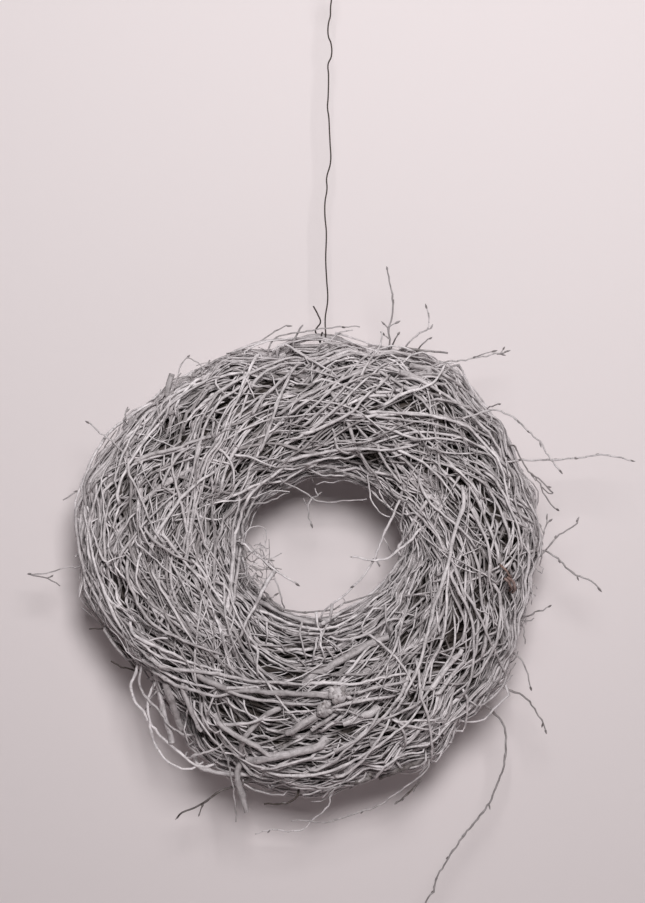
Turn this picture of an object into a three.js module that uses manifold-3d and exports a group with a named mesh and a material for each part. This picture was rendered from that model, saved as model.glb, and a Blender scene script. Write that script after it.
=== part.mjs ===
// A wall wreath of thin birch twigs under a thin coat of pale grey paint, hanging on one iron wire.
// Millimetres, +Z up, the front faces -Y. The origin is the middle of the eye at the top of the wire.
// Each bundle holds the twigs that are rooted in one twelfth of the ring, named by the hours of a clock.

import * as THREE from 'three';
import { mergeVertices } from 'three/addons/utils/BufferGeometryUtils.js';
import Module from 'manifold-3d';

const wasm = await Module();
wasm.setup();

const TURN = 2 * Math.PI;

// The ring: its middle, and the radius of its outline and of its hole, which sit a little off that middle.
// The outline is flatter at some angles: each has its degrees, how much it takes off and its spread.
// No stem reaches past the straight line that cuts its own bundle off from this share of the hole.
const RING_X = -15;
const RING_Z = -568;
const OUTLINE = { radius: 231, across: -9, up: -9.5, corners: 3 };
const FLATS = [[214, 42, 27], [116, 8, 16], [348, 9, 9]];
const HOLE = { radius: 75, across: 5.5, up: 9, widening: 5.75 };
const HOLE_LINE = 0.95;
const FRONT_DEPTH = 66;
const BACK_DEPTH = 54;

// The packed heart of each bundle lies this far under the ring's surface. Its own twigs are ridges that
// wind round it, one for every second side.
const BUNDLES = 12;
const HEART_HEIGHT = -8;
const HEART_SIDES = 44;
const HEART_SPANS = 3;
const HEART_FURROW = 9;
const HEART_UNEVEN = 4.5;
const HEART_TWISTS = [0.1, 0.22];

// The twigs laid over the hearts
const GAP = 0.3;
const TWIG_SPANS = 4;
const TWIG_SIDES = 3;
const TWIG_LENGTHS = [90, 185];
const TWIG_RADII = [2.6, 4.2];
const TWIG_TAPER = 0.5;
const TWIG_SLANT = 0.75;
const TWIG_BEND = 0.16;
const ROOT_HEIGHT = -33;
const ROOT_SHARE = 0.07;
const ROOT_SPREAD = 0.74;
const RIM_ARC = 0.62;
const STEMS_PER_BUNDLE = 23;
const MOST_TRIES = 6000;
const RAISE_STEP = 1.2;
const STEEPEST_RISE = 4.5;
const TOP_HEIGHT = 7;
const MOST_RAISE = 16;
const RIM_SHARE = 0.97;
const FORK_MIDDLE = 0.55;
const FORK_TAPER = 0.8;
const SEED = 1227;

// How finely a height over the ring is worked out, and the edges that a joined bundle loses as too short
const HEIGHT_LIMIT = 400;
const HEIGHT_STEP = 0.05;
const SHORTEST_EDGE = 0.06;

// The hanging wire, and the stout twig at the top that it is wound round
const WIRE_RADIUS = 0.75;
const WIRE_SIDES = 8;
const EYE_RADIUS = 5;
const EYE_OPENS_AT = [-0.11, 0.65];
const EYE_STEPS = 12;
const WIRE_LEANS_FROM = 20;
const HANGER_RADIUS = 4;
const HANGER_X = -8.7;
const HANGER_Z = -351.5;
const HANGER_HALF_LENGTH = 36;
const HANGER_SHARES = [-1, -0.55, 0, 0.55, 1];
const HANGER_DROP = 16;
const HANGER_TAPER = 0.9;
const HANGER_SIDES = 6;
const WINDING_X = -5.4;
const WINDING_ADVANCE = -6.6;
const WINDING_TURNS = 1.5;
const WINDING_STEPS = 15;

const PAINTED_TWIG = { color: 0xb9b0ac, roughness: 0.85, metalness: 0 };
const DARK_IRON = { color: 0x3b3736, roughness: 0.55, metalness: 0.9 };

// The wire's cut end under the eye, and its free stretch from the eye down to the wreath, as [x, z] places
const WIRE_CUT_END = [[-1.3, -6.5], [-1.9, -5.2]];
const WIRE_KINKS = [
  [1.9, -5.4], [0.6, -7.8], [0.4, -11], [0.4, -14], [-0.4, -20.6], [-0.8, -30.6], [-2.5, -37.2],
  [-2.6, -50.5], [-0.1, -57.1], [0.3, -70.4], [-2.9, -78.3], [-2.5, -88.6], [-2.9, -111.8],
  [-3.5, -121.8], [-2.2, -131.7],
  [-1.6, -144], [-1, -156.3], [-0.5, -176.9], [-4.4, -192.7], [-4, -203], [-6, -216.7],
  [-6, -231.8], [-4.7, -245.5], [-5.3, -274.3], [-4.4, -293.5], [-3.3, -314], [-5.8, -333],
];

// The wire's cut tail, as [x, y, z] places above its winding
const WIRE_TAIL = [
  [-14.4, 4.8, -348], [-15.6, 3.6, -344.4], [-13.6, 1.8, -341], [-10.6, 0.4, -336.4], [-13, -0.6, -329],
  [-17.7, -1.5, -320.2],
];

// Loose and standing twigs, as routes from the thick end. A place is [x, z] where the twig lies on the
// front of the ring, and [x, z, y] where it stands clear of the ring or runs into its hole.
const LOOSE_TWIGS = [
  { name: 'tall bud twig', thick: 1.7, thin: 1, rise: 1,
    route: [[50, -362], [53, -346, -22], [57, -326, -24], [60, -310, -26], [55, -284, -28]],
    forks: [[1, [68, -334, -30]], [2, [49, -316, -30]]] },
  { name: 'short bud twig', thick: 1.6, thin: 1, rise: 2,
    route: [[66, -372], [80, -355, -30], [94, -346, -34], [97, -339, -36], [96, -321, -38]] },
  { name: 'level bud twig', thick: 1.8, thin: 1.1, rise: 3,
    route: [[64, -372], [100, -371, -36], [129, -374, -40], [147, -368, -42], [175, -365, -46]],
    forks: [[3, [162, -375, -50]]] },
  { name: 'level cut stem', thick: 2.6, thin: 2, rise: 4,
    route: [[60, -378], [86, -364, -26], [116, -363, -26]] },
  { name: 'arched bud twig', thick: 1.7, thin: 1, rise: 4,
    route: [[109, -434], [140, -422, -60], [159, -417, -58], [184, -429, -56], [206, -454, -52],
      [221, -484, -50]] },
  { name: 'long level twig', thick: 1.6, thin: 0.9, rise: 2,
    route: [[172, -478], [200, -474, -34], [229, -473, -36], [254, -467, -38], [279, -468, -40],
      [302, -474, -44]] },
  { name: 'right edge twig', thick: 1.7, thin: 1, rise: 3,
    route: [[178, -452], [204, -489, -38], [219, -504, -36], [234, -519, -34], [243, -534, -30]] },
  { name: 'right forked twig', thick: 1.6, thin: 1, rise: 2,
    route: [[196, -588], [214, -574, -24], [229, -559, -26], [247, -534, -30]] },
  { name: 'right falling twig', thick: 1.7, thin: 1, rise: 2,
    route: [[190, -566], [212, -565, -14], [229, -574, -14], [249, -589, -16], [269, -604, -20]],
    forks: [[3, [259, -592, -24]]] },
  { name: 'right short twig', thick: 1.5, thin: 0.9, rise: 2,
    route: [[182, -634], [199, -632, -30], [214, -629, -32], [235, -617, -36]] },
  { name: 'lower right twig', thick: 1.5, thin: 0.9, rise: 2,
    route: [[162, -690], [177, -702, -16], [194, -714, -16], [209, -734, -18], [214, -746, -20]] },
  { name: 'long hanging twig', thick: 2.2, thin: 1.1, rise: 3,
    route: [[140, -700], [166, -729, -10], [174, -754, -10], [169, -789, -12], [149, -824, -14],
      [124, -864, -16], [104, -904, -18], [89, -939, -20]] },
  { name: 'bottom sweeping twig', thick: 2, thin: 1, rise: 3,
    route: [[128, -762], [99, -809, -22], [69, -824, -22], [29, -834, -20], [-31, -836, -18],
      [-63, -844, -16]] },
  { name: 'bottom dark twig', thick: 2.2, thin: 1.2, rise: 3,
    route: [[-46, -790], [-80, -803, -22], [-117, -808, -22], [-133, -819, -20], [-154, -831, -16]] },
  { name: 'left level twig', thick: 1.5, thin: 1, rise: 2,
    route: [[-234, -576], [-254, -580, -8], [-271, -583, -10], [-281, -591, -12], [-301, -589, -12]] },
  { name: 'left bud twig', thick: 1.6, thin: 1, rise: 2,
    route: [[-190, -486], [-205, -471, -26], [-220, -453, -28], [-233, -445, -28], [-244, -436, -28]] },
  { name: 'left short twig', thick: 1.5, thin: 1, rise: 2,
    route: [[-238, -512], [-254, -505, -12], [-267, -513, -14]] },
  { name: 'left bud', thick: 1.6, thin: 1.2, rise: 2,
    route: [[-176, -440], [-190, -430, -24], [-202, -421, -26]] },
  { name: 'top left loop', thick: 1.5, thin: 1, rise: 2,
    route: [[-152, -412], [-156, -400, -16], [-152, -386, -14], [-145, -373, -14], [-137, -374, -16],
      [-128, -383, -18]] },
  { name: 'top left stub', thick: 3.2, thin: 2.8, rise: 3,
    route: [[-162, -416], [-163, -403, -22], [-158, -387, -22]] },
  { name: 'top level twig', thick: 1.9, thin: 1.2, rise: 2,
    route: [[-84, -368], [-66, -354, -10], [-45, -340, -12]] },
  { name: 'top crossing twig', thick: 1.8, thin: 1.2, rise: 2,
    route: [[-48, -356], [-30, -345, -22], [10, -339, -24], [31, -340, -24]] },
  { name: 'bottom cut stem', thick: 4, thin: 3.6, rise: 9,
    route: [[-104, -766], [-96, -790, -42], [-83, -824, -42]] },
  { name: 'bottom thin strip', thick: 2, thin: 1.6, rise: 9,
    route: [[-92, -776], [-94, -800, -50], [-96, -834, -50]] },
  { name: 'hole top sprig', thick: 1.7, thin: 1, rise: 1,
    route: [[-30, -474], [-16, -480, -38], [8, -485, -38], [28, -489, -36]] },
  { name: 'hole right sprig', thick: 1.6, thin: 1, rise: 1,
    route: [[66, -500], [62, -512, -36], [66, -532, -36]] },
];

// Stems that sweep along the ring: the outer band down the left and along the bottom, the low loops
// outside it, and the pale stems down the right
const SWEEPING_STEMS = [
  { name: 'left band', count: 4, spread: 10, thick: 3.3, thin: 2.7, rise: 4,
    route: [[-240, -512], [-244, -545], [-242, -580], [-231, -616], [-210, -648]] },
  { name: 'bottom band from the left', count: 4, spread: 10, thick: 3.6, thin: 2.8, rise: 5,
    route: [[-194, -674], [-158, -698], [-112, -713], [-76, -719], [-40, -722]] },
  { name: 'bottom band from the right', count: 3, spread: 12, thick: 3.2, thin: 2.6, rise: 6,
    route: [[116, -700], [84, -711], [30, -720], [-24, -724]] },
  { name: 'outer low loop', count: 1, spread: 0, thick: 2.4, thin: 2, rise: 3,
    route: [[-196, -670], [-200, -700, -20], [-187, -727, -22], [-165, -755, -24], [-132, -782, -26],
      [-98, -791, -30], [-60, -786], [-31, -778]] },
  { name: 'inner low loop', count: 1, spread: 0, thick: 2.2, thin: 1.8, rise: 3,
    route: [[-186, -664], [-191, -694, -26], [-176, -722, -28], [-160, -740, -30], [-140, -756]] },
  { name: 'right stems', count: 2, spread: 14, thick: 3, thin: 2.2, rise: 5,
    route: [[102, -602], [94, -620], [82, -665], [69, -714], [29, -774]] },
  { name: 'right edge stems', count: 2, spread: -12, thick: 2.8, thin: 2, rise: 4,
    route: [[114, -560], [134, -600], [141, -644], [135, -714]] },
  { name: 'top stems', count: 3, spread: -11, thick: 3, thin: 2.2, rise: 3,
    route: [[-126, -448], [-102, -426], [-54, -398], [4, -380], [50, -374]] },
  { name: 'upper right stems', count: 2, spread: -16, thick: 2.8, thin: 2, rise: 4,
    route: [[40, -392], [92, -402], [136, -430], [168, -474], [186, -522]] },
];

/** A repeatable stream of draws between 0 and 1. */
function seededDraws(seed) {
  let state = seed;
  return () => {
    state = (state + 0x6d2b79f5) | 0;
    let mixed = Math.imul(state ^ (state >>> 15), 1 | state);
    mixed = (mixed + Math.imul(mixed ^ (mixed >>> 7), 61 | mixed)) ^ mixed;
    return ((mixed ^ (mixed >>> 14)) >>> 0) / 4294967296;
  };
}

/** The ring's section at an angle round the hole: the radius of its middle, and half its width. */
function sectionAt(angle) {
  const flat = FLATS.reduce((sum, [degrees, depth, spread]) => {
    const away = THREE.MathUtils.euclideanModulo(angle * THREE.MathUtils.RAD2DEG - degrees + 180, 360) - 180;
    return sum + depth * Math.exp(-((away / spread) ** 2));
  }, 0);
  const outline = OUTLINE.radius + OUTLINE.across * Math.cos(angle) + OUTLINE.up * Math.sin(angle)
    + OUTLINE.corners * Math.sin(2 * angle) - flat;
  const hole = HOLE.radius + HOLE.across * Math.cos(angle) + HOLE.up * Math.sin(angle)
    + HOLE.widening * Math.cos(2 * angle);
  return { middle: (outline + hole) / 2, halfWidth: (outline - hole) / 2 };
}

/** The place at an angle round the hole, a turn round the section from its outer side over the front,
 * and a height over the ring's surface. */
function onRing(angle, turn, height) {
  const { middle, halfWidth } = sectionAt(angle);
  const reach = middle + (halfWidth + height) * Math.cos(turn);
  const depth = (Math.sin(turn) > 0 ? FRONT_DEPTH : BACK_DEPTH) + height;
  return new THREE.Vector3(
    RING_X + reach * Math.cos(angle),
    -depth * Math.sin(turn),
    RING_Z + reach * Math.sin(angle),
  );
}

/** Where a place lies: its angle round the hole, its turn round the section and its height. */
function whereIs(place) {
  const x = place.x - RING_X;
  const z = place.z - RING_Z;
  const angle = Math.atan2(z, x);
  const { middle, halfWidth } = sectionAt(angle);
  const across = Math.hypot(x, z) - middle;
  const halfDepth = place.y < 0 ? FRONT_DEPTH : BACK_DEPTH;
  let low = 1 - Math.min(halfWidth, halfDepth);
  let high = HEIGHT_LIMIT;
  while (high - low > HEIGHT_STEP) {
    const height = (low + high) / 2;
    const inside = Math.hypot(across / (halfWidth + height), place.y / (halfDepth + height)) < 1;
    if (inside) high = height;
    else low = height;
  }
  const turn = Math.atan2(-place.y / (halfDepth + high), across / (halfWidth + high));
  return { angle, turn, height: high };
}

/** The bundle that an angle belongs to: 0 is the one at twelve o'clock, and they go round clockwise. */
function bundleAt(angle) {
  return ((Math.round((TURN / 4 - angle) / (TURN / BUNDLES)) % BUNDLES) + BUNDLES) % BUNDLES;
}

/** The angle of a bundle's middle. */
function bundleMiddle(bundle) {
  return TURN / 4 - bundle * (TURN / BUNDLES);
}

/** A closed geometry as a solid that can be joined. */
function solidOf(geometry) {
  geometry.deleteAttribute('normal');
  geometry.deleteAttribute('uv');
  const merged = mergeVertices(geometry);
  return new wasm.Manifold(new wasm.Mesh({
    numProp: 3,
    vertProperties: merged.getAttribute('position').array,
    triVerts: new Uint32Array(merged.index.array),
  }));
}

/** A joined solid as a geometry. */
function geometryOf(solid) {
  const { vertProperties, triVerts } = solid.getMesh();
  const geometry = new THREE.BufferGeometry();
  geometry.setAttribute('position', new THREE.BufferAttribute(vertProperties, 3));
  geometry.setIndex(new THREE.BufferAttribute(triVerts, 1));
  const faceted = geometry.toNonIndexed();
  faceted.computeVertexNormals();
  return faceted;
}

/** A closed tapering stem along a list of points, which keeps one edge turned outwards from its tip. */
function stemAlong(points, tipOutwards, thick, thin, sides) {
  const spans = points.length - 1;
  const stem = new THREE.CylinderGeometry(thin, thick, spans, sides, spans);
  const aheads = points.map((_, i) => points[Math.min(i + 1, spans)].clone()
    .sub(points[Math.max(i - 1, 0)]).normalize());
  const frames = [];
  let side = aheads[spans].clone().cross(tipOutwards);
  for (let i = spans; i >= 0; i--) {
    side = side.clone().addScaledVector(aheads[i], -side.dot(aheads[i])).normalize();
    frames[i] = { side, up: side.clone().cross(aheads[i]) };
  }
  const position = stem.getAttribute('position');
  for (let i = 0; i < position.count; i++) {
    const station = Math.round(position.getY(i) + spans / 2);
    const place = points[station].clone()
      .addScaledVector(frames[station].side, position.getX(i))
      .addScaledVector(frames[station].up, position.getZ(i));
    position.setXYZ(i, place.x, place.y, place.z);
  }
  return stem;
}

/** The packed heart of a bundle: a slice of the ring whose own twigs are ridges that wind round it. */
function heartOf(bundle, draw) {
  const heart = new THREE.CylinderGeometry(1, 1, HEART_SPANS, HEART_SIDES, HEART_SPANS);
  const position = heart.getAttribute('position');
  const twist = THREE.MathUtils.lerp(...HEART_TWISTS, draw()) * (bundle % 2 ? -1 : 1);
  const sunk = Array.from({ length: HEART_SIDES }, (_, side) => Array.from({ length: HEART_SPANS + 1 },
    () => (side % 2 ? HEART_FURROW : 0) + HEART_UNEVEN * draw()));
  for (let i = 0; i < position.count; i++) {
    const along = position.getY(i) / HEART_SPANS;
    const angle = bundleMiddle(bundle) + along * (TURN / BUNDLES);
    const turn = Math.atan2(position.getZ(i), position.getX(i));
    const side = (Math.round((turn / TURN) * HEART_SIDES) + HEART_SIDES) % HEART_SIDES;
    const station = Math.round(position.getY(i) + HEART_SPANS / 2);
    const isEnd = station === 0 || station === HEART_SPANS;
    const isCapMiddle = isEnd && Math.hypot(position.getX(i), position.getZ(i)) < 0.5;
    const place = isCapMiddle
      ? onRing(angle, turn, -sectionAt(angle).halfWidth).setY(0)
      : onRing(angle, turn + twist * position.getY(i), HEART_HEIGHT - sunk[side][station]);
    const back = isEnd ? (-Math.sign(along) * GAP) / 2 : 0;
    position.setXYZ(i, place.x - back * Math.sin(angle), place.y, place.z + back * Math.cos(angle));
  }
  return heart;
}

// The shares along a span at which its height over the hearts is looked at
const LOOKS_ALONG_SPAN = [0, 0.3, 0.6, 1];

// Every span of every stem and of the wire that has been placed so far
const placed = [];

/** How far an angle is past the middle of its own bundle. */
function pastMiddle(angle) {
  const past = angle - bundleMiddle(bundleAt(angle));
  return Math.atan2(Math.sin(past), Math.cos(past));
}

/** True if a stretch keeps clear of the hearts of all bundles, or for a root of all but its own. */
function clearOfHearts(line, radius, rootBundle) {
  return LOOKS_ALONG_SPAN.every((share) => {
    const place = line.at(share, new THREE.Vector3());
    const { angle, height } = whereIs(place);
    if (height > HEART_HEIGHT + radius + GAP) return true;
    if (bundleAt(angle) !== rootBundle) return false;
    const fromHole = Math.hypot(place.x - RING_X, place.z - RING_Z);
    return fromHole * (TURN / BUNDLES / 2 - Math.abs(pastMiddle(angle))) > radius + GAP;
  });
}

/** True if span i of a stem meets something that it may not. Roots may join inside their own heart. */
function isBlocked(stem, i) {
  const line = new THREE.Line3(stem.points[i], stem.points[i + 1]);
  const radius = stem.radii[i];
  if (!clearOfHearts(line, radius, i === 0 ? stem.bundle : undefined)) return true;
  const middle = line.getCenter(new THREE.Vector3());
  const half = line.distance() / 2;
  return placed.some((other) => {
    if (other.bundle === stem.bundle && (i === 0 || other.isRoot)) return false;
    const room = radius + other.radius + GAP;
    if (middle.distanceTo(other.middle) > half + other.half + room) return false;
    return line.distanceSqToLine3(other.line) < room * room;
  });
}

/** Keeps the spans of a placed stem, so that later ones stay clear of them. */
function remember(points, radii, bundle) {
  for (let i = 0; i + 1 < points.length; i++) {
    const line = new THREE.Line3(points[i], points[i + 1]);
    placed.push({
      line, bundle, radius: radii[i], isRoot: bundle !== undefined && i === 0,
      middle: line.getCenter(new THREE.Vector3()), half: line.distance() / 2,
    });
  }
}

/** True if a stem's bundle, wrapped tightly, would reach into the hole because of it. */
function closesHole({ points, radii, bundle }) {
  const angle = bundleMiddle(bundle);
  const { middle, halfWidth } = sectionAt(angle);
  const line = HOLE_LINE * (middle - halfWidth);
  return points.some((point, i) => (point.x - RING_X) * Math.cos(angle)
    + (point.z - RING_Z) * Math.sin(angle) - radii[i] < line);
}

/** Raises the points of a stem off what lies under it, smoothly. False if it would stand too high. */
function settle(stem, top) {
  const base = stem.points.map((point) => point.clone());
  const raised = stem.points.map(() => 0);
  for (;;) {
    const blocked = stem.points.slice(1).findIndex((_, i) => isBlocked(stem, i));
    if (blocked < 0) return true;
    for (const i of [Math.max(blocked, 1), blocked + 1]) raised[i] += RAISE_STEP;
    for (let i = 2; i < raised.length; i++) {
      raised[i] = Math.max(raised[i], raised[i - 1] - STEEPEST_RISE);
    }
    for (let i = raised.length - 2; i > 0; i--) {
      raised[i] = Math.max(raised[i], raised[i + 1] - STEEPEST_RISE);
    }
    if (Math.max(...raised) > top) return false;
    for (let i = 1; i < raised.length; i++) {
      stem.points[i].copy(base[i]).addScaledVector(stem.outwards[i], raised[i]);
    }
  }
}

/** The direction away from the ring at an angle and a turn. */
function outwardsAt(angle, turn) {
  return onRing(angle, turn, 1).sub(onRing(angle, turn, 0)).normalize();
}

/** A stem with its radii, from its points and the two radii at its ends. */
function newStem(points, outwards, thick, thin, bundle) {
  const radii = points.map((_, i) => thick + (thin - thick) * (i / (points.length - 1)));
  return { points, outwards, radii, thick, thin, bundle };
}

/** A twig laid over the ring from a root at an angle and a turn, with a slant across the ring. */
function laidTwig(angle, turn, slant, heading, draw) {
  const { middle, halfWidth } = sectionAt(angle);
  const reach = middle + halfWidth * Math.cos(turn);
  const wish = THREE.MathUtils.lerp(...TWIG_LENGTHS, draw());
  const length = Math.min(wish, (reach * RIM_ARC) / Math.cos(slant));
  const thick = THREE.MathUtils.lerp(...TWIG_RADII, draw());
  const lowest = HEART_HEIGHT + thick + 2 * GAP;
  const points = [onRing(angle, turn, ROOT_HEIGHT)];
  const outwards = [outwardsAt(angle, turn)];
  let [a, t, s] = [angle, turn, slant];
  for (let i = 1; i <= TWIG_SPANS; i++) {
    const step = length * (i === 1 ? ROOT_SHARE : (1 - ROOT_SHARE) / (TWIG_SPANS - 1));
    const section = sectionAt(a);
    a += (heading * step * Math.cos(s)) / (section.middle + section.halfWidth * Math.cos(t));
    t += (step * Math.sin(s)) / ((section.halfWidth + FRONT_DEPTH) / 2);
    s += TWIG_BEND * (draw() - 0.5) * 2;
    points.push(onRing(a, t, lowest));
    outwards.push(outwardsAt(a, t));
  }
  return newStem(points, outwards, thick, thick * TWIG_TAPER, bundleAt(angle));
}

/** A stem along a route of places, rooted under its first one. */
function routedStem({ route, thick, thin, rise }, shift = 0) {
  const outwards = [];
  const points = route.map(([x, z, y]) => {
    const place = new THREE.Vector3(x, 0, z);
    const inwards = new THREE.Vector3(RING_X - x, 0, RING_Z - z).normalize();
    place.addScaledVector(inwards, shift);
    if (y !== undefined) {
      outwards.push(new THREE.Vector3(0, -1, 0));
      return place.setY(y);
    }
    const { angle } = whereIs(place);
    const { middle, halfWidth } = sectionAt(angle);
    const across = Math.hypot(place.x - RING_X, place.z - RING_Z) - middle;
    const turn = Math.acos(THREE.MathUtils.clamp(across / (halfWidth + rise), -RIM_SHARE, RIM_SHARE));
    outwards.push(outwardsAt(angle, turn));
    return onRing(angle, turn, rise);
  });
  const { angle, turn } = whereIs(points[0]);
  const root = onRing(rootAngle(angle), turn, ROOT_HEIGHT);
  points[0] = onRing(rootAngle(angle), turn, rise);
  return newStem([root, ...points], [outwards[0], ...outwards], thick, thin, bundleAt(angle));
}

/** The angle nearest to a given one that is well inside its bundle. */
function rootAngle(angle) {
  const most = (ROOT_SPREAD * TURN) / BUNDLES / 2;
  return bundleMiddle(bundleAt(angle)) + THREE.MathUtils.clamp(pastMiddle(angle), -most, most);
}

/** A side twig that leaves a placed stem at one of its points. */
function forkOf(stem, from, [x, z, y]) {
  const start = stem.points[from + 1];
  const end = new THREE.Vector3(x, y, z);
  const points = [start, start.clone().lerp(end, FORK_MIDDLE), end];
  const outwards = points.map(() => new THREE.Vector3(0, -1, 0));
  const radius = stem.radii[from + 1] * FORK_TAPER;
  return newStem(points, outwards, radius, radius * FORK_TAPER, stem.bundle);
}

// The wire's middle line goes round the hanger at this radius
const WINDING_RADIUS = HANGER_RADIUS + WIRE_RADIUS + GAP;

/** How far forward the free stretch hangs at a height: it meets the front of the winding at its foot. */
function stretchDepthAt(z) {
  return -WINDING_RADIUS * THREE.MathUtils.smoothstep(-z, WIRE_LEANS_FROM, -HANGER_Z);
}

/** The wire's places from its cut end at the eye to its tail above the wreath. */
function wireRoute() {
  const cutEnd = WIRE_CUT_END.map(([x, z]) => new THREE.Vector3(x, 0, z));
  const eye = Array.from({ length: EYE_STEPS + 1 }, (_, i) => {
    const angle = TURN * THREE.MathUtils.lerp(EYE_OPENS_AT[1], EYE_OPENS_AT[0], i / EYE_STEPS);
    return new THREE.Vector3(EYE_RADIUS * Math.cos(angle), 0, EYE_RADIUS * Math.sin(angle));
  });
  const stretch = WIRE_KINKS.map(([x, z]) => new THREE.Vector3(x, stretchDepthAt(z), z));
  const winding = Array.from({ length: WINDING_STEPS + 1 }, (_, i) => {
    const share = i / WINDING_STEPS;
    const angle = TURN * (0.5 + WINDING_TURNS * share);
    return new THREE.Vector3(
      WINDING_X + WINDING_ADVANCE * share,
      WINDING_RADIUS * Math.cos(angle),
      HANGER_Z + WINDING_RADIUS * Math.sin(angle),
    );
  });
  const tail = WIRE_TAIL.map(([x, y, z]) => new THREE.Vector3(x, y, z));
  return [...cutEnd, ...eye, ...stretch, ...winding, ...tail];
}

/** A smooth curve whose steps fall on its own places, so that close places give a tight bend its steps. */
class PlacedCurve extends THREE.CatmullRomCurve3 {
  getPointAt(share, target) { return this.getPoint(share, target); }
  getTangentAt(share, target) { return this.getTangent(share, target); }
  getSpacedPoints(count) { return this.getPoints(count); }
}

/** The hanging wire as one tube. */
function wireGeometry(route) {
  const ring = new THREE.EllipseCurve(0, 0, WIRE_RADIUS, WIRE_RADIUS);
  const section = new THREE.Shape(ring.getPoints(WIRE_SIDES).slice(0, WIRE_SIDES));
  return new THREE.ExtrudeGeometry(section, {
    steps: route.length - 1, bevelEnabled: false, extrudePath: new PlacedCurve(route),
  });
}

/** A named mesh. */
function piece(name, geometry, finish) {
  const mesh = new THREE.Mesh(geometry, new THREE.MeshStandardMaterial(finish));
  mesh.name = name;
  return mesh;
}

// The solids of the stems that are rooted in each bundle
const stems = Array.from({ length: BUNDLES }, () => []);

/** Adds a stem's solid to its bundle. */
function addStem({ points, outwards, thick, thin, bundle }, sides) {
  stems[bundle].push(solidOf(stemAlong(points, outwards.at(-1), thick, thin, sides)));
}

/** Places a stem in its bundle if it settles, and says whether it did. */
function place(stem, top) {
  if (closesHole(stem) || !settle(stem, top) || closesHole(stem)) return false;
  remember(stem.points, stem.radii, stem.bundle);
  addStem(stem, TWIG_SIDES);
  return true;
}

/** Places a stem that the wreath is to have by name. */
function placeNamed(stem, name) {
  if (!place(stem, MOST_RAISE)) throw new Error(`The ${name} finds no room.`);
}

/** The stout twig that carries the wreath. It dips into the heart of the top bundle at both ends. */
function placeHanger() {
  const points = HANGER_SHARES.map((share) => new THREE.Vector3(
    HANGER_X + share * HANGER_HALF_LENGTH, 0, HANGER_Z - HANGER_DROP * share ** 4));
  const outwards = points.map(() => new THREE.Vector3(0, 0, 1));
  const hanger = newStem(points, outwards, HANGER_RADIUS, HANGER_RADIUS * HANGER_TAPER, 0);
  remember(hanger.points, hanger.points.map(() => HANGER_RADIUS), hanger.bundle);
  addStem(hanger, HANGER_SIDES);
}

/** The loose twigs with their forks, then the sweeping stems side by side. */
function placeNamedStems() {
  for (const twig of LOOSE_TWIGS) {
    const stem = routedStem(twig);
    placeNamed(stem, twig.name);
    for (const [from, end] of twig.forks ?? []) addStem(forkOf(stem, from, end), TWIG_SIDES);
  }
  for (const sweep of SWEEPING_STEMS) {
    for (let i = 0; i < sweep.count; i++) placeNamed(routedStem(sweep, i * sweep.spread), sweep.name);
  }
}

/** The twigs that lie all over the ring at random, fewer towards the hole, until each bundle is full. */
function placeLaidTwigs(draw) {
  for (let tries = 0; tries < MOST_TRIES; tries++) {
    const angle = rootAngle(TURN * draw());
    const turn = TURN * draw();
    const slant = TWIG_SLANT * (draw() * 2 - 1);
    const heading = draw() < 0.5 ? -1 : 1;
    const twig = laidTwig(angle, turn, slant, heading, draw);
    const { middle, halfWidth } = sectionAt(angle);
    const isTooNearHole = draw() > (middle + halfWidth * Math.cos(turn)) / (middle + halfWidth);
    if (isTooNearHole || stems[twig.bundle].length >= STEMS_PER_BUNDLE) continue;
    place(twig, TOP_HEIGHT - HEART_HEIGHT - TWIG_RADII[0]);
  }
}

/** A bundle: its heart and the stems rooted in it, joined, without any scrap that is left loose. */
function bundleSolid(bundle, draw) {
  const joined = wasm.Manifold.union([solidOf(heartOf(bundle, draw)), ...stems[bundle]]);
  const [largest] = joined.decompose().sort((one, other) => other.volume() - one.volume());
  return largest.simplify(SHORTEST_EDGE);
}

const wire = wireRoute();
remember(wire, wire.map(() => WIRE_RADIUS), undefined);
placeHanger();
placeNamedStems();
const draw = seededDraws(SEED);
placeLaidTwigs(draw);

const wreath = new THREE.Group();
for (let bundle = 0; bundle < BUNDLES; bundle++) {
  const hour = String(bundle === 0 ? BUNDLES : bundle).padStart(2, '0');
  wreath.add(piece(`twig_bundle_${hour}`, geometryOf(bundleSolid(bundle, draw)), PAINTED_TWIG));
}
wreath.add(piece('hanging_wire', wireGeometry(wire), DARK_IRON));

export default wreath;
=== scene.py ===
"""A wall wreath of thin birch twigs under a coat of pale grey paint, hanging on one crinkled iron wire.

Metres, +Z up, the front faces -Y. The origin is the middle of the eye at the top of the wire.
"""

import functools
import math

import bmesh
import bpy
import numpy as np
from mathutils import Matrix, Vector


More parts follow.
